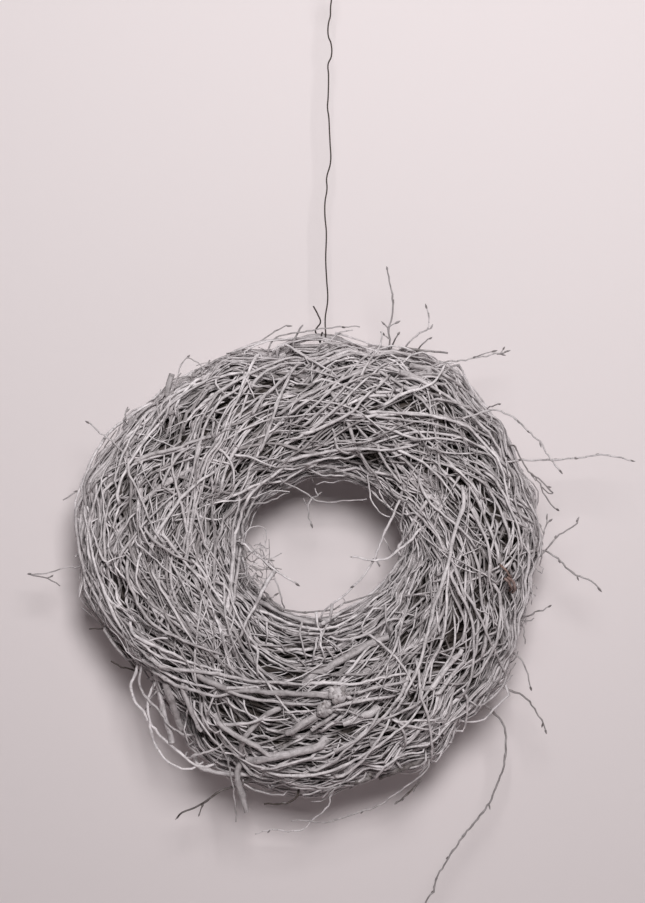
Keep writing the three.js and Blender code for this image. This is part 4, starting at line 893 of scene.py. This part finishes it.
class Stems:
    """The stems of one bundle, gathered in batches that share their number of sides and stations."""

    def __init__(self, bundle):
        self.hour = bundle or BUNDLES
        self.middle_angle = TURN / 4 - bundle * TURN / BUNDLES
        self.draw = np.random.default_rng([SEED, bundle])
        self.batches = []
        self.buds = []

    def add(self, places, radii, sides, paint=1.0, bare=0.0, flat_ends=False, palest=0.0):
        """Adds stems from their places, radii, paint and bareness at each station. Each gets its own
        tint, at random from the share given as palest up to 1."""
        shape = radii.shape
        ahead, side = side_directions(places)
        self.batches.append({
            "places": places, "radii": radii, "sides": sides, "flat_ends": flat_ends,
            "ahead": ahead, "side": side, "along": distance_along(places),
            "paint": np.broadcast_to(paint, shape), "bare": np.broadcast_to(bare, shape),
            "tint": np.broadcast_to(palest + (1 - palest) * self.draw.random((shape[0], 1)), shape),
        })

    def add_bud(self, place, ahead, sunk):
        """Notes a bud that points ahead, with this share of it behind its place."""
        length = self.draw.uniform(*BUD["lengths"]) * MM
        radius = self.draw.uniform(*BUD["radii"]) * MM
        self.buds.append((place - unit(ahead) * length * sunk, unit(ahead) * length, radius))

    def close_buds(self):
        """Adds the noted buds as one batch."""
        if not self.buds:
            return
        shares = np.linspace(0, 1, len(BUD["profile"]))
        places = np.array([[place + ahead * s for s in shares] for place, ahead, _ in self.buds])
        radii = np.array([[radius * share for share in BUD["profile"]] for *_, radius in self.buds])
        self.add(places, radii, BUD["sides"], BUD["paint"])

    def rows(self, key):
        """One value for each station of each stem, in the order of the stems."""
        return np.concatenate([values.reshape(-1, *values.shape[2:])
                               for values in (batch[key] for batch in self.batches)])


def sharpen(caps):
    """Keeps the edges of cut ends crisp."""
    for cap in caps:
        for edge in cap.edges:
            edge.smooth = False


@functools.cache
def straight_rods(count, stations, sides, flat_ends):
    """A mesh of closed straight rods, one at each whole x, with a station at each whole z."""
    form = bmesh.new()
    bmesh.ops.create_circle(form, cap_ends=True, segments=sides, radius=ROD_RADIUS)
    cap = [*form.faces]
    if flat_ends:
        sharpen(cap)
    for _ in range(stations - 1):
        grown = bmesh.ops.extrude_face_region(form, geom=cap)["geom"]
        corners = [part for part in grown if isinstance(part, bmesh.types.BMVert)]
        bmesh.ops.translate(form, verts=corners, vec=(0, 0, 1))
        cap = [part for part in grown if isinstance(part, bmesh.types.BMFace)]
    if flat_ends:
        sharpen(cap)
    bmesh.ops.recalc_face_normals(form, faces=form.faces)
    if count > 1:
        bmesh.ops.spin(form, geom=[*form.verts, *form.edges, *form.faces], cent=(0, 0, 0), axis=(0, 0, 1),
                       dvec=(1, 0, 0), angle=0, steps=count - 1, use_duplicate=True)
    rods = bpy.data.meshes.new("straight_rods")
    form.to_mesh(rods)
    form.free()
    return rods


def bend_rods(mesh, stems):
    """Bends a mesh of straight rods along the stems' places, and gives its corners their bark values."""
    corners = np.empty(len(mesh.vertices) * 3)
    mesh.vertices.foreach_get("co", corners)
    corners = corners.reshape(-1, 3)
    station = np.rint(corners[:, 2]).astype(int)
    rod = np.rint(corners[:, 0]).astype(int)
    around = np.arctan2(corners[:, 1], corners[:, 0] - rod)

    shapes = [(*batch["radii"].shape, batch["sides"]) for batch in stems.batches]
    counts, stations, sides = np.array(shapes).T
    first_rows = np.cumsum(counts * stations) - counts * stations
    corner_counts = counts * stations * sides
    row = np.repeat(first_rows, corner_counts) + station + rod * np.repeat(stations, corner_counts)
    ahead, side = stems.rows("ahead"), stems.rows("side")
    up = np.cross(side, ahead)
    unevenness = 1 + BARK_UNEVENNESS * stems.draw.normal(size=len(row))
    radius = (stems.rows("radii")[row] * unevenness)[:, None]
    outwards = np.cos(around)[:, None] * side[row] + np.sin(around)[:, None] * up[row]
    bent = stems.rows("places")[row] + radius * outwards
    mesh.vertices.foreach_set("co", bent.astype(np.float32).reshape(-1))

    bark = np.stack([radius[:, 0] * np.cos(around), radius[:, 0] * np.sin(around),
                     stems.rows("along")[row]], axis=-1)
    bark += PATTERN_APART * stems.rows("tint")[row, None] * len(stems.batches)
    pattern = mesh.attributes.new("bark_place", "FLOAT_VECTOR", "POINT")
    pattern.data.foreach_set("vector", bark.astype(np.float32).reshape(-1))
    for key in ("tint", "paint", "bare"):
        values = mesh.attributes.new(key, "FLOAT", "POINT")
        values.data.foreach_set("value", stems.rows(key)[row].astype(np.float32))


def add_bundle(stems, finish):
    """The bundle's piece: straight rods from the operators, bent along its stems."""
    hour = stems.hour
    name = f"birch_twigs_{hour:02d}"
    mesh = bpy.data.meshes.new(name)
    form = bmesh.new()
    for batch in stems.batches:
        form.from_mesh(straight_rods(*batch["radii"].shape, batch["sides"], batch["flat_ends"]))
    form.to_mesh(mesh)
    form.free()
    bend_rods(mesh, stems)
    mesh.polygons.foreach_set("use_smooth", np.ones(len(mesh.polygons), bool))
    mesh.materials.append(finish)
    mesh.update()
    piece = linked(name, mesh)
    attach(piece, "root")
    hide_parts(f"twig_bundle_{hour:02d}")


def tapered(thick, taper, stations):
    """Radii that go evenly from thick to this share of it."""
    return thick * (1 + (taper - 1) * np.linspace(0, 1, stations))


def with_joints(draw, radii, joints):
    """The radii, with a share of the stations swollen."""
    share, swell = joints
    return radii * np.where(draw.random(radii.shape) < share, swell, 1.0)


def uneven_turns(draw, angle, count):
    """Turns round the section that spread the twigs evenly, so that fewer start at the hole."""
    middle, half_width = section_at(angle)
    turns = np.linspace(0, TURN, TURN_STEPS)
    weight = np.cumsum(middle + half_width * np.cos(turns))
    return np.interp(draw.random(count) * weight[-1], weight, turns)


def angles_of(stems, count):
    """Angles at random within the bundle."""
    return stems.middle_angle + (stems.draw.random(count) - 0.5) * TURN / BUNDLES


def leans_of(stems, scatter, count):
    """Leans at the hour's own lean, with some that cross it."""
    draw = stems.draw
    scatter = scatter * LEAN_SCATTER.get(stems.hour, USUAL_SCATTER)
    lean = LEANS[stems.hour] + scatter * draw.normal(size=count)
    crosses = draw.random(count) < CROSSING[stems.hour]
    return np.radians(np.where(crosses, -lean - CROSSING_LEAN, lean))


def strands_of(stems):
    """The strands of a bundle: angle, turn, lean, way round and sweep of each."""
    draw = stems.draw
    return {
        "angle": angles_of(stems, STRANDS),
        "turn": uneven_turns(draw, stems.middle_angle, STRANDS),
        "lean": leans_of(stems, LEAN_OF_STRANDS, STRANDS),
        "heading": either_way(draw, STRANDS),
        "sweep": SWEEP_OF_STRANDS * draw.normal(size=STRANDS),
    }


def courses_of(stems, kind, strands):
    """Where twigs of one kind start and how they run: some in the strands and the others at random."""
    draw = stems.draw
    count = kind["count"]
    strand = draw.integers(0, STRANDS, count)
    together = draw.random(count) < kind["together"]
    _, half_width = section_at(stems.middle_angle)
    # Three are drawn and two used, so that the draws after them stay as they are.
    spread_along, spread_across, _ = STRAND_SPREAD * draw.normal(size=(3, count)) / half_width

    def either(key, loose, scatter=0.0):
        return np.where(together, strands[key][strand] + scatter, loose)

    return {
        "angle": either("angle", angles_of(stems, count), STRAND_DRAWN_OUT * spread_along),
        "turn": either("turn", uneven_turns(draw, stems.middle_angle, count), spread_across),
        "heading": either("heading", either_way(draw, count)),
        "lean": either("lean", leans_of(stems, kind["scatter"], count),
                       math.radians(STRAND_SCATTER) * draw.normal(size=count)),
        "sweep": either("sweep", kind["sweep"] * draw.normal(size=count)),
        "length": draw.uniform(*kind["lengths"], count) * MM,
    }


def height_rule(draw, kind):
    """A rule for the heights of twigs of one kind over the ring, by the share of their length and turn."""
    count = kind["count"]
    base = draw.uniform(*kind["heights"], count) * MM
    dips = draw.random(count) < ROOT_DIPS["share"]
    root_dips = np.where(dips, draw.uniform(*ROOT_DIPS["depths"], count), 0) * MM
    goes_down = draw.random(count) < TIP_MOVES["share"]
    tip_moves = np.where(goes_down, -draw.uniform(*TIP_MOVES["depths"], count),
                         draw.uniform(*TIP_MOVES["rises"], count)) * MM
    is_lifted = draw.random(count) < LIFTS["share"]
    lifts = np.where(is_lifted, kind.get("lift", 0), 0) * draw.random(count) * MM
    phase = TURN * draw.random(count)
    waves = draw.uniform(*WAVES, count)

    def heights_at(share, turn):
        facing = np.clip(LIFTS["edge"] * np.sin(turn), 0, 1)
        return (base + kind["wave"] * MM * np.sin(phase + TURN * waves * share)
                - root_dips * (1 - share) ** ROOT_DIPS["power"] + tip_moves * share ** TIP_MOVES["power"]
                + lifts * facing * share ** LIFTS["power"])

    return heights_at


def wound(course, stations, heights_at):
    """The places and heights of twigs that wind along the ring and across it at their lean."""
    angle, turn = course["angle"], course["turn"]
    places = np.empty((len(angle), stations, 3))
    heights = np.empty((len(angle), stations))
    step = course["length"] / (stations - 1)
    for i in range(stations):
        share = i / (stations - 1)
        height = heights_at(share, turn)
        swell = swell_at(angle, turn)
        drop = hollow_at(on_ring(angle, turn, height + swell))
        heights[:, i] = np.maximum(height - drop, np.minimum(height, HOLLOW_FLOOR))
        places[:, i] = on_ring(angle, turn, heights[:, i] + swell)
        middle, half_width = section_at(angle)
        reach = middle + half_width * np.cos(turn)
        calm = np.where(np.cos(turn) < 0, HOLE_RIM_CALM, OUTER_RIM_CALM) * np.abs(np.cos(turn)) ** RIM_POWER
        slant = (course["lean"] + course["sweep"] * (share - 0.5)) * (1 - calm)
        angle = angle + course["heading"] * step * np.cos(slant) / reach
        turn = turn + course["heading"] * step * np.sin(slant) / ((half_width + FRONT_DEPTH) / 2)
    return places, heights


def lay_twigs(stems, kind, strands):
    """Lays twigs of one kind over the bundle. Returns their places, radii and paint."""
    draw = stems.draw
    course = courses_of(stems, kind, strands)
    places, heights = wound(course, kind["stations"], height_rule(draw, kind))
    places += kind["crook"] * MM * draw.normal(size=places.shape)
    thick = draw.uniform(*kind["radii"], kind["count"]) * MM
    radii = with_joints(draw, tapered(thick[:, None], kind["taper"], kind["stations"]), LAID_JOINTS)
    # Less paint on deeper twigs: partly the coat that misses the inner twigs, partly painted shade in the
    # deep layers and the hollows.
    paint = smooth_step(heights, BARE_AND_SHADED_BELOW, PAINTED_UNSHADED_ABOVE)
    stems.add(places, radii, kind["sides"], paint, flat_ends=kind.get("flat_ends", False))
    return places, radii, paint


def add_heart_stems(stems):
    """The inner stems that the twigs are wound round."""
    draw = stems.draw
    count, stations = HEART_STEMS["count"], HEART_STEMS["stations"]
    half = TURN / BUNDLES / 2 * HEART_STEMS["overlap"]
    angles = stems.middle_angle + np.linspace(-half, half, stations) + np.zeros((count, 1))
    stray = HEART_STEMS["stray"] * draw.random((count, 1))
    turns = TURN * (np.arange(count)[:, None] + stray) / count
    twist = HEART_STEMS["twist"]
    turns = turns + draw.uniform(-twist, twist, (count, 1)) * np.linspace(-1, 1, stations)
    uneven = HEART_STEMS["uneven"]
    heights = (HEART_STEMS["height"] + draw.uniform(-uneven, uneven, (count, stations))) * MM
    radii = draw.uniform(*HEART_STEMS["radii"], (count, 1)) * MM * np.ones(stations)
    radii[:, [0, -1]] *= HEART_STEMS["end_share"]
    # The heart stems get no paint: bare inner stems, and painted shade deep in the ring.
    stems.add(on_ring(angles, turns, heights), radii, HEART_STEMS["sides"], paint=0.0)


def add_side_twigs(stems, places, radii, paint, count):
    """Short side twigs that leave the given ones at a slant, most with a swollen tip."""
    draw = stems.draw
    stations = SIDE_TWIGS["stations"]
    stem = draw.integers(0, places.shape[0], count)
    at = draw.integers(1, places.shape[1] - 1, count)
    start = places[stem, at]
    ahead = unit(places[stem, at + 1] - places[stem, at - 1])
    out = away_from_ring(start)
    across = np.cross(ahead, out) * either_way(draw, count)[:, None]
    slant = draw.uniform(*SIDE_TWIGS["slants"], count)[:, None]
    lift = draw.uniform(*SIDE_TWIGS["lifts"], count)[:, None]
    course = unit(ahead * np.cos(slant) + across * np.sin(slant) + out * lift)
    length = (draw.uniform(*SIDE_TWIGS["lengths"], count) * MM)[:, None]
    route = np.stack([start + course * length * s + ahead * length * SIDE_TWIGS["bend"] * s * s
                      for s in np.linspace(0, 1, stations)], axis=1)
    route[:, 1:] += SIDE_TWIGS["crook"] * MM * draw.normal(size=route[:, 1:].shape)
    route = held_to_ring(route, SIDE_TWIGS["height"] * MM)
    thinnest, thickest = SIDE_TWIGS["radii"]
    thick = np.clip(radii[stem, at] * SIDE_TWIGS["share"], thinnest * MM, thickest * MM)
    side_radii = tapered(thick[:, None], SIDE_TWIGS["taper"], stations)
    swollen = draw.random(count) < SIDE_TWIGS["swollen_tips"]
    side_radii[:, -2] *= np.where(swollen, SIDE_TWIGS["swell"], 1.0)
    stems.add(route, side_radii, SIDE_TWIGS["sides"], paint[stem, at][:, None])


def lay_bundle(stems):
    """The heart stems of a bundle, and its twigs of every kind laid over them."""
    add_heart_stems(stems)
    strands = strands_of(stems)
    for kind in TWIG_KINDS:
        laid = lay_twigs(stems, kind, strands)
        if "side_twigs" in kind:
            add_side_twigs(stems, *laid, kind["side_twigs"])


def end_dips(stops, tip_dip=END_DIP):
    """How far the root and the tip are sunk: not at all where they have a depth of their own."""
    return [dip if len(stop) == 2 else 0 for stop, dip in ((stops[0], END_DIP), (stops[-1], tip_dip))]


def settle_ends(places, dips):
    """Sinks the two ends of a stem among the others, by the dips given for its root and its tip."""
    shares = np.linspace(0, 1, len(places))
    down = (dips[0] * np.clip(1 - shares / END_DIP_SHARE, 0, 1) ** 2
            + dips[1] * np.clip(1 - (1 - shares) / END_DIP_SHARE, 0, 1) ** 2)
    return places - away_from_ring(places) * down[:, None]


def build_of(thick):
    """The numbers that go with a twig of this radius in millimetres."""
    return STOUT_TWIG if thick * MM > STOUT else THIN_TWIG


def add_followed(bundles, stops, thick, taper, spacing, dips, crook, paint=1.0, bare=0.0, palest=0.0):
    """One stem through its stops, in the bundle that it is rooted in, with its radius in millimetres.
    Returns that bundle's stems, and the stem's route and radii."""
    route = settle_ends(smooth_route(stops, spacing), dips)
    stems = bundles[bundle_of(route[0])]
    draw = stems.draw
    route[1:-1] += crook * draw.normal(size=route[1:-1].shape)
    radii = with_joints(draw, tapered(thick * MM, taper, len(route)), FOLLOWED_JOINTS)
    stems.add(route[None], radii[None], build_of(thick)["sides"], paint, bare, thick * MM > STOUT, palest)
    return stems, route, radii


def add_traced_twigs(bundles):
    """The twigs of the ring that the photo shows whole, with side twigs of their own."""
    for thick, height, pixels in (*UPPER_LEFT, *UPPER_RIGHT, *LOWER_LEFT, *LOWER_RIGHT):
        build = build_of(thick)
        stems, route, radii = add_followed(
            bundles, places_of(pixels, height * MM), thick, build["taper"], TRACED_SPACING,
            end_dips(pixels, build["tip_dip"]), TRACED_CROOK, palest=build["palest"])
        count = len(route) // SIDE_TWIGS["spacing"]
        if count:
            add_side_twigs(stems, route[None], radii[None], np.ones((1, len(route))), count)
    for rows, taper, dips, crook, paint, bare in OTHER_TWIGS:
        for thick, height, pixels in rows:
            add_followed(bundles, places_of(pixels, height * MM), thick, taper, SPRIG_SPACING, dips, crook,
                         paint, bare)


def add_sprig_buds(stems, stops, buds):
    """The buds of a sprig at some of its stops: ahead at its tip, and slanted at its sides."""
    for place in buds:
        is_tip = place == len(stops) - 1
        ahead = unit(stops[place if is_tip else place + 1] - stops[place - 1])
        if not is_tip:
            ahead = ahead + BUD["slant"] * unit(stems.draw.normal(size=3))
        stems.add_bud(stops[place], ahead, BUD["tip_sunk"] if is_tip else BUD["sunk"])


def add_sprigs(bundles):
    """The loose sprigs round the ring and in its hole, with their forks and buds."""
    for thick, paint, pixels, buds, forks in SPRIGS:
        stops = places_of(pixels, 0)
        stems, _, _ = add_followed(bundles, stops, thick, build_of(thick)["sprig_taper"], SPRIG_SPACING,
                                   end_dips(pixels), SPRIG_CROOK, paint)
        add_sprig_buds(stems, stops, buds)
        for place, end in forks:
            end = on_sight_line(end, end[2] * MM)
            bend = (stops[place] + end) / 2 + FORK["bend"] * MM * stems.draw.normal(size=3)
            fork = smooth_route(np.array([stops[place], bend, end]), SPRIG_SPACING)
            stems.add(fork[None], np.linspace(*FORK["radii"], len(fork))[None] * MM, FORK["sides"], paint)
            stems.add_bud(end, end - bend, BUD["tip_sunk"])


def add_knots(bundles):
    """Knots where stout stems were cut back."""
    for pixel, degrees, size in KNOTS:
        middle = on_front(pixel, KNOT["height"])
        ahead = np.array([math.cos(math.radians(degrees)), 0, math.sin(math.radians(degrees))])
        shares = np.linspace(-0.5, 0.5, len(KNOT["profile"]))
        route = middle + ahead * (KNOT["length"] * size * MM * shares)[:, None]
        stems = bundles[bundle_of(middle)]
        route += KNOT["uneven"] * size * MM * stems.draw.normal(size=route.shape)
        radii = size * MM * np.array(KNOT["profile"])
        stems.add(route[None], radii[None], KNOT["sides"], bare=KNOT["bare"])
        add_scars(stems, middle, ahead, size)


def add_scars(stems, middle, ahead, size):
    """The stubs that stand out of a knot's front all round it."""
    draw = stems.draw
    count = SCARS["count"]
    turns = TURN * draw.random(count)
    square = np.stack([-np.sin(turns) * ahead[2], -np.abs(np.cos(turns)), np.sin(turns) * ahead[0]],
                      axis=-1)
    outwards = unit(square + SCARS["slant"] * draw.normal(size=(count, 1)) * ahead)
    feet = middle + ahead * size * MM * draw.uniform(-SCARS["along"], SCARS["along"], (count, 1))
    reach = size * MM * draw.uniform(*SCARS["reach"], (count, 1))
    places = np.stack([feet + outwards * reach * share for share in SCARS["steps"]], axis=1)
    radii = size * MM * draw.uniform(*SCARS["radii"], (count, 1)) * np.array(SCARS["profile"])
    stems.add(places, radii, SCARS["sides"], SCARS["paint"], SCARS["bare"])


def add_tuft(bundles):
    """The tuft of fine torn fibres at the left of the hole."""
    middle = np.array(TUFT["middle"])
    stems = bundles[bundle_of(on_front(middle, 0))]
    draw = stems.draw
    count, stations = TUFT["count"], TUFT["stations"]
    start = np.array([on_sight_line(middle + (draw.random(2) * 2 - 1) * TUFT["reach"],
                                    draw.uniform(*TUFT["depth"]) * MM) for _ in range(count)])
    course = unit(draw.normal(size=(count, 3)) * TUFT["flatness"])
    turn_by = unit(draw.normal(size=(count, 3)))
    length = draw.uniform(*TUFT["lengths"], (count, 1)) * MM
    curl = draw.uniform(*TUFT["curls"], (count, 1))
    places = np.stack([
        start + length * (course * np.sin(curl * s) + turn_by * (1 - np.cos(curl * s))) / curl
        for s in np.linspace(0, 1, stations)], axis=1)
    radii = draw.uniform(*TUFT["radii"], (count, 1)) * MM * np.ones(stations)
    stems.add(places, radii, TUFT["sides"], TUFT["paint"])


class Finish:
    """A node material with its surface shader, and short ways to add to it. Each of them gives back the
    socket to go on from."""

    def __init__(self, name):
        self.material = bpy.data.materials.new(name)
        self.material.use_nodes = True
        self.tree = self.material.node_tree
        self.shader = self.tree.nodes["Principled BSDF"]

    def fill(self, node, inputs):
        """Gives a node its inputs: a socket is linked, and anything else is set as the value."""
        for key, value in inputs.items():
            if isinstance(value, bpy.types.NodeSocket):
                self.tree.links.new(value, node.inputs[key])
            else:
                node.inputs[key].default_value = value

    def add(self, kind, output, inputs, **settings):
        """A new node's output."""
        node = self.tree.nodes.new(kind)
        for key, value in settings.items():
            setattr(node, key, value)
        self.fill(node, inputs)
        return node.outputs[output]

    def noise(self, place, scale, detail, roughness=0.5):
        """Noise that is finer for a larger scale, which may be one number for each direction."""
        if isinstance(scale, tuple):
            place = self.add("ShaderNodeMapping", "Vector", {"Vector": place, "Scale": scale})
            scale = 1
        return self.add("ShaderNodeTexNoise", "Fac", {
            "Vector": place, "Scale": scale, "Detail": detail, "Roughness": roughness})

    def spread(self, value, low, high, source=(0, 1)):
        """The value, taken from its source range to the one from low to high."""
        return self.add("ShaderNodeMapRange", "Result", {
            "Value": value, "From Min": source[0], "From Max": source[1], "To Min": low, "To Max": high})

    def blend(self, factor, first, second, **settings):
        """A mix of two colours."""
        return self.add("ShaderNodeMix", "Result", {"Factor": factor, "A": first, "B": second},
                        data_type="RGBA", **settings)

    def bump(self, height, strength, distance, **under):
        """Relief, over the one under it where there is one."""
        return self.add("ShaderNodeBump", "Normal", {
            "Height": height, "Strength": strength, "Distance": distance, **under})


def painted_bark():
    """Birch bark under a thin dull coat of pale paint, worn in patches and missing deep inside, where the
    bare bark also stands in as painted shade.
    """
    finish = Finish("painted_birch_bark")
    place = finish.add("ShaderNodeAttribute", "Vector", {}, attribute_name="bark_place")
    tint, paint, bare = (finish.add("ShaderNodeAttribute", "Fac", {}, attribute_name=key)
                         for key in ("tint", "paint", "bare"))
    patches = finish.noise(place, 120, 4)
    grain = finish.noise(place, (1400, 1400, 130), 3)
    ridges = finish.noise(place, (420, 420, 110), 3, 0.65)
    pores = finish.noise(place, (260, 260, 900), 1)
    wear = finish.spread(patches, 0, 0.4, (0.48, 0.74))
    specks = finish.spread(pores, 0, 0.4, (0.62, 0.72))
    covered = paint
    for loss in (wear, specks, bare):
        covered = finish.add("ShaderNodeMath", "Value", {0: covered, 1: loss}, operation="SUBTRACT",
                             use_clamp=True)
    coat = finish.blend(tint, *map(rgb, COAT_COLOURS))
    bark = finish.blend(bare, *map(rgb, BARK_COLOURS))
    colour = finish.blend(covered, bark, coat)
    for noise, darkest, palest in ((grain, 0.75, 1.2), (ridges, 0.55, 1.36)):
        streaks = finish.spread(noise, darkest, palest, (0.15, 0.85))
        colour = finish.blend(1, colour, streaks, blend_type="MULTIPLY")
    fine_relief = finish.bump(grain, 0.5, 0.3 * MM)
    finish.fill(finish.shader, {
        "Base Color": colour,
        "Roughness": finish.spread(patches, 0.62, 0.9),
        "Normal": finish.bump(ridges, 0.6, 0.8 * MM, Normal=fine_relief),
    })
    return finish.material


def dark_iron():
    """Annealed iron wire, dark and dull with a little rust."""
    finish = Finish("annealed_iron")
    mottle = finish.noise(finish.add("ShaderNodeTexCoord", "Object", {}), 260, 5)
    finish.fill(finish.shader, {
        "Base Color": finish.blend(mottle, *map(rgb, IRON_COLOURS)),
        "Metallic": 0.75,
        "Roughness": finish.spread(mottle, 0.42, 0.7),
        "Normal": finish.bump(mottle, 0.25, 0.1 * MM),
    })
    return finish.material


def wall_paint():
    """Pale pinkish wall paint. From behind it is clear, so that the wreath's back can be seen."""
    finish = Finish("pale_wall_paint")
    finish.fill(finish.shader, {"Base Color": rgb(WALL_COLOUR), "Roughness": 0.9})
    behind = finish.add("ShaderNodeNewGeometry", "Backfacing", {})
    clear = finish.add("ShaderNodeBsdfTransparent", "BSDF", {})
    surface = finish.add("ShaderNodeMixShader", "Shader", {
        "Fac": behind, 1: finish.shader.outputs["BSDF"], 2: clear})
    finish.fill(finish.tree.nodes["Material Output"], {"Surface": surface})
    return finish.material


def add_stage():
    """The wall close behind the wreath and the floor below it."""
    paint = wall_paint()
    back = CAD_BOX[1][1] + WALL_GAP
    for name, turned, place in (
        ("wall", Matrix.Rotation(TURN / 4, 4, "X"), (RING_X, back, RING_Z)),
        ("floor", Matrix.Identity(4), (RING_X, back - WALL_SIZE / 2, FLOOR_Z)),
    ):
        form = bmesh.new()
        bmesh.ops.create_grid(form, x_segments=1, y_segments=1, size=WALL_SIZE / 2,
                              matrix=Matrix.Translation(place) @ turned)
        mesh = bpy.data.meshes.new(name)
        form.to_mesh(mesh)
        form.free()
        mesh.materials.append(paint)
        panel = linked(name, mesh)
        panel.visible_shadow = name == "floor"


def add_light(name, place, aim, size, power):
    """A soft square lamp that looks at a place."""
    data = bpy.data.lights.new(name, "AREA")
    data.shape = "SQUARE"
    data.size = size
    data.energy = power
    data.color = rgb(LIGHT_COLOUR)[:3]
    lamp = linked(name, data)
    lamp.location = place
    lamp.rotation_euler = (Vector(aim) - Vector(place)).to_track_quat("-Z", "Y").to_euler()


def add_lights():
    """Daylight from above and a little to the right, with soft light from all round."""
    add_light("window_light", **WINDOW_LIGHT)
    add_light("back_light", **BACK_LIGHT)
    world = bpy.data.worlds.new("room_light")
    world.use_nodes = True
    background = world.node_tree.nodes["Background"]
    background.inputs["Color"].default_value = rgb(ROOM_COLOUR)
    background.inputs["Strength"].default_value = ROOM_LIGHT
    bpy.context.scene.world = world
    bpy.context.scene.view_settings.view_transform = "Standard"


add_camera()
add_wire()
add_stage()
add_lights()
bundles = [Stems(bundle) for bundle in range(BUNDLES)]
for stems in bundles:
    lay_bundle(stems)
add_traced_twigs(bundles)
add_sprigs(bundles)
add_knots(bundles)
add_tuft(bundles)
bark = painted_bark()
for stems in bundles:
    stems.close_buds()
    add_bundle(stems, bark)
for mesh in [mesh for mesh in bpy.data.meshes if mesh.name.startswith("straight_rods")]:
    bpy.data.meshes.remove(mesh)
